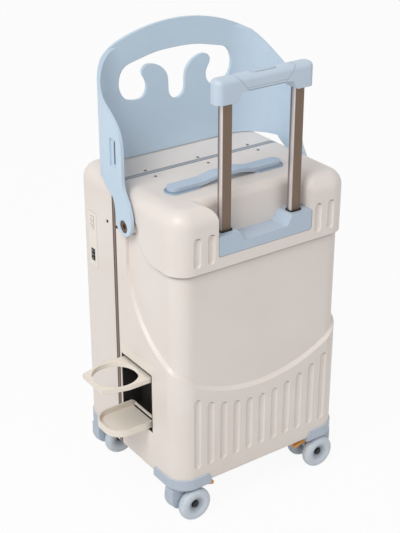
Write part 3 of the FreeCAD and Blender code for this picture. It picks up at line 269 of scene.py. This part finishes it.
def cap_shadow(finish):
    """1 in the thin shadow on the shell's back, right under the level edge of its cap."""
    place = finish.place()
    seam_to_level_edge, level_soft = 114 * MM, 4 * MM
    fade_from, fade_to, edge_soft = 6.5 * MM, 2.0 * MM, 0.5 * MM
    edge, level_end = CASE_TOP - CAP_HEIGHT, SEAM - seam_to_level_edge
    under = finish.rise(place.z, low=edge - fade_from, high=edge - fade_to)
    under = under * finish.fall(place.z, low=edge, high=edge + edge_soft)
    return under * finish.fall(place.y, low=level_end - level_soft, high=level_end)


def shell_plastic():
    """The shells' cream plastic: satin, shaded under its steps, warmer and scuffed near the floor."""
    finish, colour, roughness, normal = moulded(
        "cream_shell", light=paint(236, 227, 220), dark=paint(232, 222, 215), roughness=0.38, edge=1.2 * MM)
    height = finish.place().z
    shade = paint(132, 112, 102)
    shade_from, shade_full, scuff_height = 50 * MM, 60 * MM, 90 * MM
    step = finish.fall(finish.outward().z, low=-0.6, high=-0.3)
    step = step * finish.rise(height, low=CASE_BOTTOM + shade_from, high=CASE_BOTTOM + shade_full)
    colour = finish.tint(colour, step, strength=0.8, other=shade)
    colour = finish.tint(colour, cap_shadow(finish), strength=0.6, other=shade)
    near_floor = finish.fall(height, low=CASE_BOTTOM, high=CASE_BOTTOM + scuff_height)
    scratch = finish.noise(scale=160.0, detail=6.0, stretch=(1.0, 1.0, 3.0))
    scuff = finish.rise(scratch, low=0.62, high=0.72) * near_floor
    colour = finish.tint(colour, near_floor, strength=0.35, other=paint(226, 215, 205))
    colour = finish.tint(colour, scuff, strength=0.5, other=paint(214, 205, 198))
    scuff_roughness = 0.12
    return finish.finish(colour, roughness + scuff_roughness * scuff, normal)


def holder_plastic():
    """The cup holder's cream plastic, smoother than the shells."""
    finish, colour, roughness, normal = moulded(
        "cream_holder", light=paint(240, 231, 219), dark=paint(236, 226, 213),
        roughness=0.34, edge=0.9 * MM, grain=1800.0)
    return finish.finish(colour, roughness, normal)


def lock_plastic():
    """The lock panel's cream plastic with a fine shadow line round it."""
    finish, colour, roughness, normal = moulded(
        "cream_lock", light=paint(240, 233, 223), dark=paint(236, 229, 218), roughness=0.34, edge=0.5 * MM)
    low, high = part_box("lock_panel")
    rim = finish.outline(low, high, width=0.8 * MM)
    colour = finish.tint(colour, rim, strength=0.3, other=paint(176, 166, 158))
    return finish.finish(colour, roughness, normal)


def lock_button_plastic():
    """The lock's cream button with two slanted grey strokes and a shadow line round it."""
    finish, colour, roughness, normal = moulded(
        "cream_lock_button", light=paint(238, 231, 221), dark=paint(233, 225, 214),
        roughness=0.34, edge=0.6 * MM)
    place = finish.place()
    low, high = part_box("lock_button")
    middle = (low + high) / 2
    slope, stroke_away, stroke_width = 0.7, 4.2 * MM, 1.3 * MM
    slant = (place.z - middle.z) - slope * (place.y - middle.y)
    strokes = finish.line(abs(slant), stroke_away, stroke_width)
    strokes = strokes * finish.within(place.y, middle.y, half=3.2 * MM, soft=0.6 * MM)
    rim = finish.outline(low, high, width=0.7 * MM)
    colour = finish.tint(colour, strokes, strength=0.85, other=paint(112, 104, 100))
    colour = finish.tint(colour, rim, strength=0.4, other=paint(150, 142, 136))
    return finish.finish(colour, roughness, normal)


def guard_plastic():
    """The guard's light blue plastic: smooth satin, a paler rubbed bloom and shaded belt slots."""
    finish, colour, roughness, normal = moulded(
        "blue_guard", light=paint(200, 219, 235), dark=paint(195, 215, 232),
        roughness=0.36, edge=1.6 * MM, grain=1500.0)
    place, outward = finish.place(), finish.outward()
    rub = finish.rise(finish.noise(scale=45.0, detail=5.0), low=0.6, high=0.75)
    colour = finish.tint(colour, rub, strength=0.25, other=paint(208, 223, 236))
    margin, soft = 0.6 * MM, 0.2 * MM
    slot_depth, slot_height = SEAM - BELT_SLOT_BACK, CASE_TOP + BELT_SLOT_RISE + BELT_SLOT_HEIGHT / 2
    slot = finish.within(place.y, slot_depth, BELT_SLOT_WIDTH / 2 + margin, soft)
    slot = slot * finish.within(place.z, slot_height, BELT_SLOT_HEIGHT / 2 + margin, soft)
    slot = slot * finish.rise(abs(outward.y).larger(abs(outward.z)), low=0.5, high=0.7)
    colour = finish.tint(colour, slot, strength=0.8, other=paint(74, 90, 106))
    return finish.finish(colour, roughness, normal)


def handle_plastic():
    """The blue of the carry handle and the grip's button."""
    finish, colour, roughness, normal = moulded(
        "blue_handle", light=paint(188, 204, 220), dark=paint(183, 200, 217),
        roughness=0.42, edge=1.5 * MM, grain=2200.0)
    return finish.finish(colour, roughness, normal)


def foot_plastic():
    """The carry handle's feet: a deeper blue, with a painted shade line under the strap."""
    finish, colour, roughness, normal = moulded(
        "blue_foot", light=paint(180, 198, 216), dark=paint(175, 194, 213),
        roughness=0.42, edge=1.0 * MM, grain=2200.0)
    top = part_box("carry_handle_feet")[1].z
    # painted shade: the top of the feet is darkened where the strap's shadow falls
    gap = finish.rise(finish.place().z, low=top - 1.6 * MM, high=top - 0.9 * MM)
    colour = finish.tint(colour, gap, strength=0.5, other=paint(70, 88, 112))
    return finish.finish(colour, roughness, normal)


def base_plastic():
    """The handle base's blue plastic, with the shadow of its gap along its sides and lower edge."""
    finish, colour, roughness, normal = moulded(
        "blue_base", light=paint(188, 203, 218), dark=paint(183, 199, 215),
        roughness=0.42, edge=1.5 * MM, grain=2200.0)
    place = finish.place()
    low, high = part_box("trolley_base")
    middle, half = (low.x + high.x) / 2, (high.x - low.x) / 2
    gap_width, gap_soft = 0.7 * MM, 0.5 * MM
    gap = finish.rise(abs(place.x - middle), low=half - gap_width - gap_soft, high=half - gap_width)
    gap = gap.larger(finish.fall(place.z, low=low.z + gap_width, high=low.z + gap_width + gap_soft))
    colour = finish.tint(colour, gap, strength=0.6, other=paint(84, 96, 114))
    return finish.finish(colour, roughness, normal)


def grip_plastic():
    """The grip's blue plastic: slanted parting lines, a fine line along the bar and painted shade along its
    lower edge.
    """
    finish, colour, roughness, edges = moulded(
        "blue_grip", light=paint(200, 214, 228), dark=paint(195, 210, 225),
        roughness=0.42, edge=1.5 * MM, grain=2200.0)
    place = finish.place()
    low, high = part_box("trolley_grip")
    middle, half = (low.x + high.x) / 2, (high.x - low.x) / 2
    lean, parting_away, edge_soft = 0.89, 0.6 * half, 0.6 * MM
    parting_strength, ridge_strength = 0.7, 0.5
    ridge_height, edge_height = high.z - 0.8 * GRIP_HEIGHT, high.z - GRIP_HEIGHT + 0.9 * MM
    slant = abs(place.x - middle) + lean * (high.z - place.z)
    parting = finish.line(slant, parting_away, width=0.8 * MM)
    between = finish.fall(slant, low=parting_away, high=parting_away + 0.01 * half)
    ridge = finish.line(place.z, ridge_height, width=0.6 * MM) * between
    # painted shade along the lower edge, where the gap under the bar is in shadow
    lower = finish.fall(place.z, low=edge_height, high=edge_height + edge_soft) * between
    mark = (parting_strength * parting).larger(ridge_strength * ridge).larger(lower)
    colour = finish.tint(colour, mark, strength=0.6, other=paint(92, 108, 126))
    normal = finish.bump(1.0 - mark, depth=0.4 * MM, normal=edges)
    return finish.finish(colour, roughness, normal)


def bumper_plastic():
    """The grey blue of bumpers and forks: a little rubbed, with a painted highlight along the bumpers'
    upper edge.
    """
    finish, colour, roughness, normal = moulded(
        "blue_bumper", light=paint(186, 196, 209), dark=paint(180, 191, 204),
        roughness=0.46, edge=1.2 * MM, grain=1300.0, depth=0.04 * MM)
    rub = finish.rise(finish.noise(scale=90.0, detail=6.0), low=0.6, high=0.7)
    colour = finish.tint(colour, rub, strength=0.35, other=paint(160, 171, 186))
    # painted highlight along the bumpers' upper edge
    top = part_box("bumper_rear_left")[1].z
    edge = finish.rise(finish.place().z, low=top - 1.5 * MM, high=top - 0.8 * MM)
    colour = finish.tint(colour, edge, strength=0.6, other=paint(218, 226, 234))
    rub_roughness = 0.1
    return finish.finish(colour, roughness + rub_roughness * rub, normal)


def tube_metal():
    """Anodised handle tubes: streaked brown broad faces, narrow faces painted near white as a highlight,
    with painted shade on their back half and painted shade lines at the corners.
    """
    finish = Finish("bronze_tube")
    across = abs(finish.outward().x)
    low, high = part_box("trolley_tubes")
    shade_from, shade_full = (low.y + share * (high.y - low.y) for share in (0.45, 0.6))
    side = finish.rise(across, low=0.55, high=0.8)
    streak = finish.noise(scale=900.0, detail=3.0, stretch=(1.0, 1.0, 0.012))
    face = finish.mix(streak, paint(112, 93, 79), paint(132, 112, 97))
    # painted highlight: the narrow faces are painted near white
    edge = finish.mix(streak, paint(226, 217, 213), paint(244, 237, 234))
    # painted shade on the back half of the narrow faces
    shaded = finish.rise(finish.place().y, low=shade_from, high=shade_full)
    edge = finish.tint(edge, shaded, strength=0.8, other=paint(118, 104, 106))
    # painted shade: dark lines at the rounded corners
    corner = finish.line(across, middle=0.62, width=0.3)
    colour = finish.tint(finish.mix(side, face, edge), corner, strength=0.35, other=paint(96, 80, 74))
    roughness = 0.38 - 0.08 * side + 0.1 * (streak - 0.5)
    normal = finish.relief(streak, depth=0.02 * MM, edge=0.8 * MM)
    return finish.finish(colour, roughness, normal, metallic=0.6)


def frame_metal():
    """The aluminium frame: dark bronze with a paler middle at the sides, grey on the top, and painted shade
    in its gaps.
    """
    finish = Finish("bronze_frame")
    away = abs(finish.place().y - SEAM)
    pale_half, dark_from = 0.8 * MM, 2.4 * MM
    grey_half, rim_from, gap_from, gap_full = 2.8 * MM, 3.8 * MM, 4.3 * MM, 4.7 * MM
    streak = finish.noise(scale=700.0, detail=3.0, stretch=(0.02, 1.0, 0.02))
    dark = finish.mix(streak, paint(78, 58, 50), paint(94, 72, 62))
    middle = finish.mix(streak, paint(146, 120, 105), paint(162, 136, 120))
    bronze = finish.mix(finish.rise(away, low=pale_half, high=dark_from), middle, dark)
    grey = finish.mix(streak, paint(172, 175, 180), paint(190, 193, 198))
    grey = finish.mix(finish.rise(away, low=grey_half, high=rim_from), grey, paint(118, 118, 122))
    top = finish.rise(abs(finish.outward().z), low=0.5, high=0.8)
    # painted shade in the seam between the two frames and where the frame meets the shells, over a bumped
    # groove
    gap = finish.line(away, middle=0.0, width=0.4 * MM)
    gap = gap.larger(finish.rise(away, low=gap_from, high=gap_full))
    colour = finish.tint(finish.mix(top, bronze, grey), gap, strength=0.7, other=paint(58, 50, 47))
    normal = finish.relief(1.0 - gap, depth=0.4 * MM, edge=0.5 * MM)
    return finish.finish(colour, roughness=0.4 + 0.1 * streak, normal=normal, metallic=0.3)


def dark_steel():
    """The hinges, their pins and the lock's axle: dark burnished steel."""
    return clouded(
        "dark_steel", dark=paint(62, 56, 53), light=paint(92, 85, 80), scale=420.0, detail=4.0,
        roughness=0.34, spread=0.16, depth=0.02 * MM, edge=0.4 * MM, metallic=0.7)


def rivet_steel():
    """The frame's rivets: near black at the sides, blue grey where the top catches the sky."""
    finish = Finish("rivet_steel")
    cloud = finish.noise(scale=900.0, detail=4.0)
    top = finish.rise(finish.place().z, low=CASE_TOP - 4 * MM, high=CASE_TOP - 2 * MM)
    side = finish.mix(cloud, paint(26, 22, 21), paint(44, 38, 36))
    sky = finish.mix(cloud, paint(96, 106, 118), paint(124, 134, 146))
    normal = finish.relief(cloud, depth=0.01 * MM, edge=0.2 * MM)
    colour = finish.mix(top, side, sky)
    return finish.finish(colour, roughness=0.4 + 0.12 * cloud, normal=normal, metallic=0.3)


def axle_black():
    """The casters' axles, seen only as the dark bore of a wheel."""
    return clouded(
        "black_axle", dark=paint(14, 17, 22), light=paint(26, 30, 36), scale=700.0, detail=4.0,
        roughness=0.6, spread=0.1, depth=0.01 * MM, edge=0.3 * MM)


def bolt_bronze():
    """The guard's pivot bolts: dark brown lacquered metal, worn warmer in patches."""
    return clouded(
        "bolt_bronze", dark=paint(44, 26, 19), light=paint(112, 70, 48), scale=300.0, detail=5.0,
        roughness=0.34, spread=0.15, depth=0.03 * MM, edge=0.6 * MM, metallic=0.2, coat_weight=0.3)


def black_plastic():
    """The tubes' seals, matt black plastic, and the cup holder's recess, painted matt black as its deep
    shade; both with a leather-like grain.
    """
    return clouded(
        "black_plastic", dark=paint(20, 18, 17), light=paint(38, 35, 33), scale=1500.0, detail=3.0,
        roughness=0.55, spread=0.15, depth=0.06 * MM, edge=0.6 * MM)


def dial_plastic():
    """The lock's dials: dark grey plastic."""
    return clouded(
        "dark_dial", dark=paint(44, 42, 44), light=paint(60, 58, 60), scale=2000.0, detail=3.0,
        roughness=0.4, spread=0.1, depth=0.02 * MM, edge=0.2 * MM)


def dial_ink():
    """The white ink of the dials' numbers."""
    finish = Finish("white_ink")
    wear = finish.noise(scale=1800.0, detail=4.0)
    colour = finish.mix(wear, paint(226, 226, 224), paint(244, 244, 242))
    return finish.finish(colour, roughness=0.6, normal=finish.soft_edges(0.05 * MM))


def wheel_rubber(corner):
    """A caster's wheels: pale blue-grey rubber with painted shade darkening down the dish and near black in
    the bore, and a dusty tread.
    """
    finish = Finish("pale_tyre_" + corner)
    place = finish.place()
    low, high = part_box("wheels_" + corner)
    middle = (low + high) / 2
    radius = (high.z - low.z) / 2
    across, up = place.x - middle.x, place.z - middle.z
    out = (across * across + up * up).power(0.5) / radius
    grain = finish.noise(scale=1300.0, detail=3.0)
    colour = finish.mix(grain, paint(198, 207, 216), paint(209, 217, 225))
    # painted shade: darker down the dish towards the bore, and near black in the bore itself
    dish = finish.fall(out, low=0.2, high=0.62)
    bore = finish.fall(out, low=0.22, high=0.25)
    tread = finish.rise(out, low=0.965, high=0.99)
    dust = tread * finish.rise(finish.noise(scale=240.0, detail=5.0), low=0.45, high=0.65)
    colour = finish.tint(colour, dish, strength=0.75, other=paint(118, 128, 142))
    colour = finish.tint(colour, bore, strength=0.95, other=paint(18, 22, 28))
    colour = finish.tint(colour, dust, strength=0.4, other=paint(166, 172, 180))
    normal = finish.relief(grain, depth=0.04 * MM, edge=0.5 * MM)
    return finish.finish(colour, roughness=0.42 + 0.12 * grain, normal=normal)


def pedal_orange():
    """The brake pedals: amber orange plastic, glossy with fine scratches."""
    return clouded(
        "orange_pedal", dark=paint(222, 140, 40), light=paint(240, 166, 66), scale=500.0, detail=5.0,
        stretch=(1.0, 0.08, 1.0), roughness=0.28, spread=0.15, depth=0.02 * MM, edge=0.6 * MM,
        coat_weight=0.3)


# Modelled pieces


# A face that looks along an axis has at least this much of its normal there
SQUARE_ON = 0.99


def give_name(item, name):
    """Names an object and its mesh."""
    item.name = name
    item.data.name = name


def coat(item, material):
    """Gives an object one finish all over."""
    item.data.materials.clear()
    item.data.materials.append(material)


def settle():
    """Puts the place and turn of the selected object into its mesh."""
    bpy.ops.object.transform_apply(location=True, rotation=True, scale=True)


def start_piece(name):
    """Names the new primitive and opens it for editing with nothing selected."""
    item = bpy.context.object
    give_name(item, name)
    settle()
    bpy.ops.object.mode_set(mode="EDIT")
    bpy.ops.mesh.select_all(action="DESELECT")
    return item


def pick(item, kind, wanted):
    """Selects the faces or edges that pass a test of their place or normal."""
    bpy.ops.mesh.select_all(action="DESELECT")
    bpy.ops.mesh.select_mode(type={"faces": "FACE", "edges": "EDGE"}[kind])
    shape = bmesh.from_edit_mesh(item.data)
    for element in getattr(shape, kind):
        element.select_set(wanted(element))
    bmesh.update_edit_mesh(item.data)


def round_edges(item, wanted, offset, segments):
    """Rounds the edges that pass a test."""
    pick(item, "edges", wanted)
    bpy.ops.mesh.bevel(offset=offset, segments=segments, profile=0.5)


def end_piece(item, material, angle):
    """Closes a piece: merged, outward normals, smooth by angle, and one finish."""
    bpy.ops.mesh.select_all(action="SELECT")
    bpy.ops.mesh.remove_doubles(threshold=0.005 * MM)
    bpy.ops.mesh.normals_make_consistent(inside=False)
    bpy.ops.object.mode_set(mode="OBJECT")
    bpy.ops.object.shade_smooth_by_angle(angle=math.radians(angle))
    coat(item, material)
    return item


def alone(*items):
    """Leaves only these objects selected, the last one active."""
    bpy.ops.object.select_all(action="DESELECT")
    for item in items:
        item.select_set(True)
        bpy.context.view_layer.objects.active = item


def copied(item, name, move):
    """A moved copy with its own mesh, its place in the mesh."""
    alone(item)
    bpy.ops.object.duplicate()
    twin = bpy.context.object
    give_name(twin, name)
    twin.location = move
    settle()
    return twin


def joined(name, items):
    """Several pieces made one object."""
    alone(*items)
    bpy.ops.object.join()
    item = bpy.context.object
    give_name(item, name)
    return item


def tyre(name, centre, radius, width, material):
    """A round tyre with a deep dish on both sides and a bore, turned about Y."""
    lip, dish, bore = 0.6 * radius, 0.3 * radius, 0.197 * radius
    dish_depth, bore_depth = 0.36 * width, 0.06 * width
    tread_round, lip_round, dish_round = 0.44 * width, 0.11 * radius, 0.05 * radius
    near = 0.2 * MM

    def on_ring(point, size, reach):
        out = math.hypot(point.x - centre.x, point.z - centre.z)
        return abs(out - size) < near and abs(abs(point.y - centre.y) - reach) < near

    def ring(size, reach):
        """A test for the edges of the rings of one size, at one reach to both sides of the middle."""
        def wanted(edge):
            first, second = [vertex.co for vertex in edge.verts]
            level = abs(first.y - second.y) < near
            return level and on_ring(first, size, reach) and on_ring(second, size, reach)
        return wanted

    bpy.ops.object.select_all(action="DESELECT")
    bpy.ops.mesh.primitive_cylinder_add(
        vertices=64, radius=radius, depth=width, location=centre, rotation=(math.pi / 2, 0.0, 0.0))
    item = start_piece(name)
    pick(item, "faces", lambda face: abs(face.normal.y) > SQUARE_ON)
    bpy.ops.mesh.inset(thickness=radius - lip, depth=0.0, use_individual=True)
    bpy.ops.mesh.inset(thickness=lip - dish, depth=-dish_depth, use_individual=True)
    bpy.ops.mesh.inset(thickness=dish - bore, depth=-bore_depth, use_individual=True)
    bpy.ops.mesh.delete(type="FACE")
    pick(item, "edges", lambda edge: edge.is_boundary)
    bpy.ops.mesh.bridge_edge_loops()
    round_edges(item, ring(radius, width / 2), tread_round, segments=9)
    round_edges(item, ring(lip, width / 2), lip_round, segments=6)
    round_edges(item, ring(dish, width / 2 - dish_depth), dish_round, segments=4)
    return end_piece(item, material, angle=60.0)


def tyres(corner):
    """The two tyres of a caster, in place of the plain wheels."""
    low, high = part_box("wheels_" + corner)
    width_share = 0.3
    middle, radius, width = (low + high) / 2, (high.z - low.z) / 2, width_share * (high.y - low.y)
    centre = Vector((middle.x, low.y + width / 2, middle.z))
    first = tyre("tyre_" + corner, centre, radius, width, wheel_rubber(corner))
    second = copied(first, "tyre_twin_" + corner, (0.0, high.y - low.y - width, 0.0))
    pair = joined("tyres_" + corner, [second, first])
    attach(pair, "wheel_pair_" + corner)
    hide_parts("wheels_" + corner)


def rivet(name, place, turn, material):
    """A domed rivet head with a punched middle, standing on its place and turned about Y to its face."""
    radius, height = RIVET_RADIUS, RIVET_HEIGHT
    dome, rim, punch, punch_depth = 0.75 * height, 0.3 * radius, 0.16 * radius, 0.3 * height

    def on_top(edge):
        return all(vertex.co.z > 0.9 * height for vertex in edge.verts)

    bpy.ops.object.select_all(action="DESELECT")
    bpy.ops.mesh.primitive_cylinder_add(
        vertices=28, radius=radius, depth=height, location=(0.0, 0.0, height / 2))
    item = start_piece(name)
    round_edges(item, on_top, dome, segments=5)
    pick(item, "faces", lambda face: face.normal.z > SQUARE_ON)
    bpy.ops.mesh.inset(thickness=rim, depth=0.0)
    bpy.ops.mesh.inset(thickness=punch, depth=-punch_depth)
    end_piece(item, material, angle=50.0)
    item.rotation_euler = (0.0, turn, 0.0)
    item.location = place
    alone(item)
    settle()
    return item


def rivets(half, body, material):
    """The five rivets of one half of the frame, in place of the plain heads."""
    low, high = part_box(half + "_rivets")
    rows = sorted((low.y + RIVET_RADIUS, high.y - RIVET_RADIUS), key=lambda depth: abs(depth - SEAM))
    side_depth, top_depth = rows if half == "rear" else rows[::-1]
    side_height, quarter = low.z + RIVET_RADIUS, math.pi / 2
    sides = {"left": (low.x + RIVET_HEIGHT, -quarter), "right": (high.x - RIVET_HEIGHT, quarter)}
    heads = []
    for count in (-1, 0, 1):
        spot = (CASE_MIDDLE + count * RIVET_PITCH, top_depth, CASE_TOP)
        heads.append(rivet("%s_top_rivet_%d" % (half, count + 2), spot, 0.0, material))
    for side, (across, turn) in sides.items():
        spot = (across, side_depth, side_height)
        heads.append(rivet("%s_%s_rivet" % (half, side), spot, turn, material))
    piece = joined(half + "_rivet_heads", heads)
    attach(piece, body)
    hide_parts(half + "_rivets")


def dial_figure(text, centre, away, angle, ink):
    """A printed figure that faces out from a dial's axis at an angle and lies along the axis."""
    figure_size, ink_thickness = 4.4 * MM, 0.06 * MM
    bpy.ops.object.select_all(action="DESELECT")
    bpy.ops.object.text_add(location=(0.0, 0.0, 0.0))
    item = bpy.context.object
    item.data.body = text
    item.data.size = figure_size
    item.data.align_x = "CENTER"
    item.data.align_y = "CENTER"
    item.data.extrude = ink_thickness
    item.data.resolution_u = 3
    bpy.ops.object.convert(target="MESH")
    out = Vector((math.cos(angle), math.sin(angle), 0.0))
    along = Vector((0.0, 0.0, 1.0))
    turn = Matrix((along, out.cross(along), out)).transposed().to_4x4()
    item.matrix_world = Matrix.Translation(centre + away * out) @ turn
    settle()
    coat(item, ink)
    return item


def number_wheel(number, plastic, ink):
    """A ten-sided lock dial with rounded ridges and a plain number on each flat."""
    low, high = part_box("lock_dial_%d" % number)
    centre, radius, height = (low + high) / 2, (high.y - low.y) / 2, high.z - low.z
    sides, sink, ridge, rim, ink_proud = 10, 0.25 * MM, 0.8 * MM, 0.4 * MM, 0.05 * MM
    near = 0.01 * MM
    flat_away = radius * math.cos(math.pi / sides)
    flat_area = 2 * radius * math.sin(math.pi / sides) * height

    def upright(edge):
        return abs(edge.verts[0].co.z - edge.verts[1].co.z) > 0.5 * height

    def flat(face):
        return abs(face.normal.z) < 1.0 - SQUARE_ON and face.calc_area() > 0.3 * flat_area

    def at_an_end(edge):
        return all(abs(abs(vertex.co.z - centre.z) - height / 2) < near for vertex in edge.verts)

    bpy.ops.object.select_all(action="DESELECT")
    bpy.ops.mesh.primitive_cylinder_add(vertices=sides, radius=radius, depth=height, location=centre)
    item = start_piece("number_wheel_%d" % number)
    round_edges(item, upright, ridge, segments=4)
    pick(item, "faces", flat)
    bpy.ops.mesh.inset(thickness=rim, depth=-sink, use_individual=True)
    round_edges(item, at_an_end, rim, segments=3)
    end_piece(item, plastic, angle=35.0)
    figures = []
    for count in range(sides):
        angle = math.pi + count * 2 * math.pi / sides
        figures.append(dial_figure(str(count), centre, flat_away - sink + ink_proud, angle, ink))
    item = joined("number_wheel_%d" % number, figures + [item])
    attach(item, "dial_%d" % number)
    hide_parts("lock_dial_%d" % number)


def model_all():
    """Every piece that is modelled here."""
    metal, plastic, ink = rivet_steel(), dial_plastic(), dial_ink()
    for corner in CORNERS:
        tyres(corner)
    rivets("rear", "case", metal)
    rivets("lid", "lid", metal)
    for number in (1, 2, 3):
        number_wheel(number, plastic, ink)


def dress(material, *names):
    """Gives CAD nodes a finish."""
    for name in names:
        coat(nodes[name], material)


def dress_all():
    """Every CAD node in its finish."""
    dress(shell_plastic(), "rear_shell", "front_lid")
    dress(holder_plastic(), "cup_bezel", "cup_ring", "cup_tray")
    dress(lock_plastic(), "lock_panel")
    dress(lock_button_plastic(), "lock_button")
    dress(guard_plastic(), "guard")
    dress(handle_plastic(), "trolley_button", "carry_handle")
    dress(foot_plastic(), "carry_handle_feet")
    dress(base_plastic(), "trolley_base")
    dress(grip_plastic(), "trolley_grip")
    dress(tube_metal(), "trolley_tubes", "trolley_guides")
    dress(frame_metal(), "rear_frame", "lid_frame")
    dress(bolt_bronze(), "guard_pivots")
    dress(dark_steel(), "hinge_rear_leaves", "hinge_lid_leaves", "hinge_pins", "lock_axle")
    # the cup holder's recess is painted black as painted shade; the tubes' seals are black plastic
    dress(black_plastic(), "cup_liner", "trolley_seals")
    bumper, axle, pedal = bumper_plastic(), axle_black(), pedal_orange()
    for corner in CORNERS:
        dress(bumper, "bumper_" + corner, "caster_fork_" + corner)
        dress(axle, "axle_" + corner)
        dress(pedal, "brake_pedal_" + corner)


# The studio


def camera():
    """A camera at the photograph's angle and distance; the image is 533 pixels high."""
    image_height, focal_pixels, sensor = 533.0, 1205.6, 36.0
    data = bpy.data.cameras.new("camera")
    data.sensor_fit = "VERTICAL"
    data.sensor_height = sensor
    data.lens = focal_pixels * sensor / image_height
    item = bpy.data.objects.new("camera", data)
    bpy.context.scene.collection.objects.link(item)
    right = Vector((0.8189, -0.574, 0.0)).normalized()
    forward = Vector((0.5144, 0.7339, -0.4436)).normalized()
    up = right.cross(forward)
    turn = Matrix((right, up, -forward)).transposed().to_4x4()
    from_case = Vector((-1.03967, -1.47963, 1.25227))
    item.matrix_world = Matrix.Translation(from_case + Vector((CASE_MIDDLE, SEAM, 0.0))) @ turn
    bpy.context.scene.camera = item


def floor():
    """A plain white floor that keeps a soft shadow."""
    width, grey, roughness, glow_share = 16.0, (0.86, 0.86, 0.86, 1.0), 0.9, 0.93
    bpy.ops.object.select_all(action="DESELECT")
    bpy.ops.mesh.primitive_plane_add(size=width)
    item = bpy.context.object
    item.name = "floor"
    finish = Finish("white_floor")
    finish.finish(grey, roughness, finish.node("ShaderNodeNewGeometry", output="Normal"))
    glow = finish.node("ShaderNodeEmission", inputs={"Color": WHITE, "Strength": 1.0})
    blend = finish.node("ShaderNodeMixShader", inputs={
        0: glow_share * finish.looked_at(), 1: Value(finish, finish.shader.outputs[0]), 2: glow})
    finish.feed(finish.tree.nodes["Material Output"].inputs["Surface"], blend)
    item.data.materials.append(finish.material)


def world():
    """An even grey sky that shows as white."""
    light_level, shown_level = 0.47, 1.0
    sky = bpy.data.worlds.new("studio")
    bpy.context.scene.world = sky
    sky.use_nodes = True
    sky_nodes = Nodes(sky.node_tree)
    background = sky.node_tree.nodes["Background"]
    level = sky_nodes.node("ShaderNodeMix", inputs={
        0: sky_nodes.looked_at(), 2: light_level, 3: shown_level})
    sky_nodes.feed(background.inputs["Strength"], level)
    sky_nodes.feed(background.inputs["Color"], WHITE)


def lamp(name, place, aim, power, size):
    """A large soft lamp."""
    data = bpy.data.lights.new(name, "AREA")
    data.energy = power
    data.size = size
    item = bpy.data.objects.new(name, data)
    item.location = place
    item.rotation_euler = (Vector(aim) - Vector(place)).to_track_quat("-Z", "Y").to_euler()
    bpy.context.scene.collection.objects.link(item)


def studio():
    """White floor and sky, a broad key lamp from the left and a weak fill from the right."""
    bpy.context.scene.view_settings.view_transform = "Standard"
    floor()
    world()
    lamp("key", place=(-2.2, -1.0, 2.9), aim=(0.0, 0.0, 0.35), power=66.0, size=1.8)
    lamp("fill", place=(1.6, -2.2, 1.6), aim=(0.0, 0.0, 0.4), power=3.0, size=1.6)
    camera()


dress_all()
model_all()
studio()
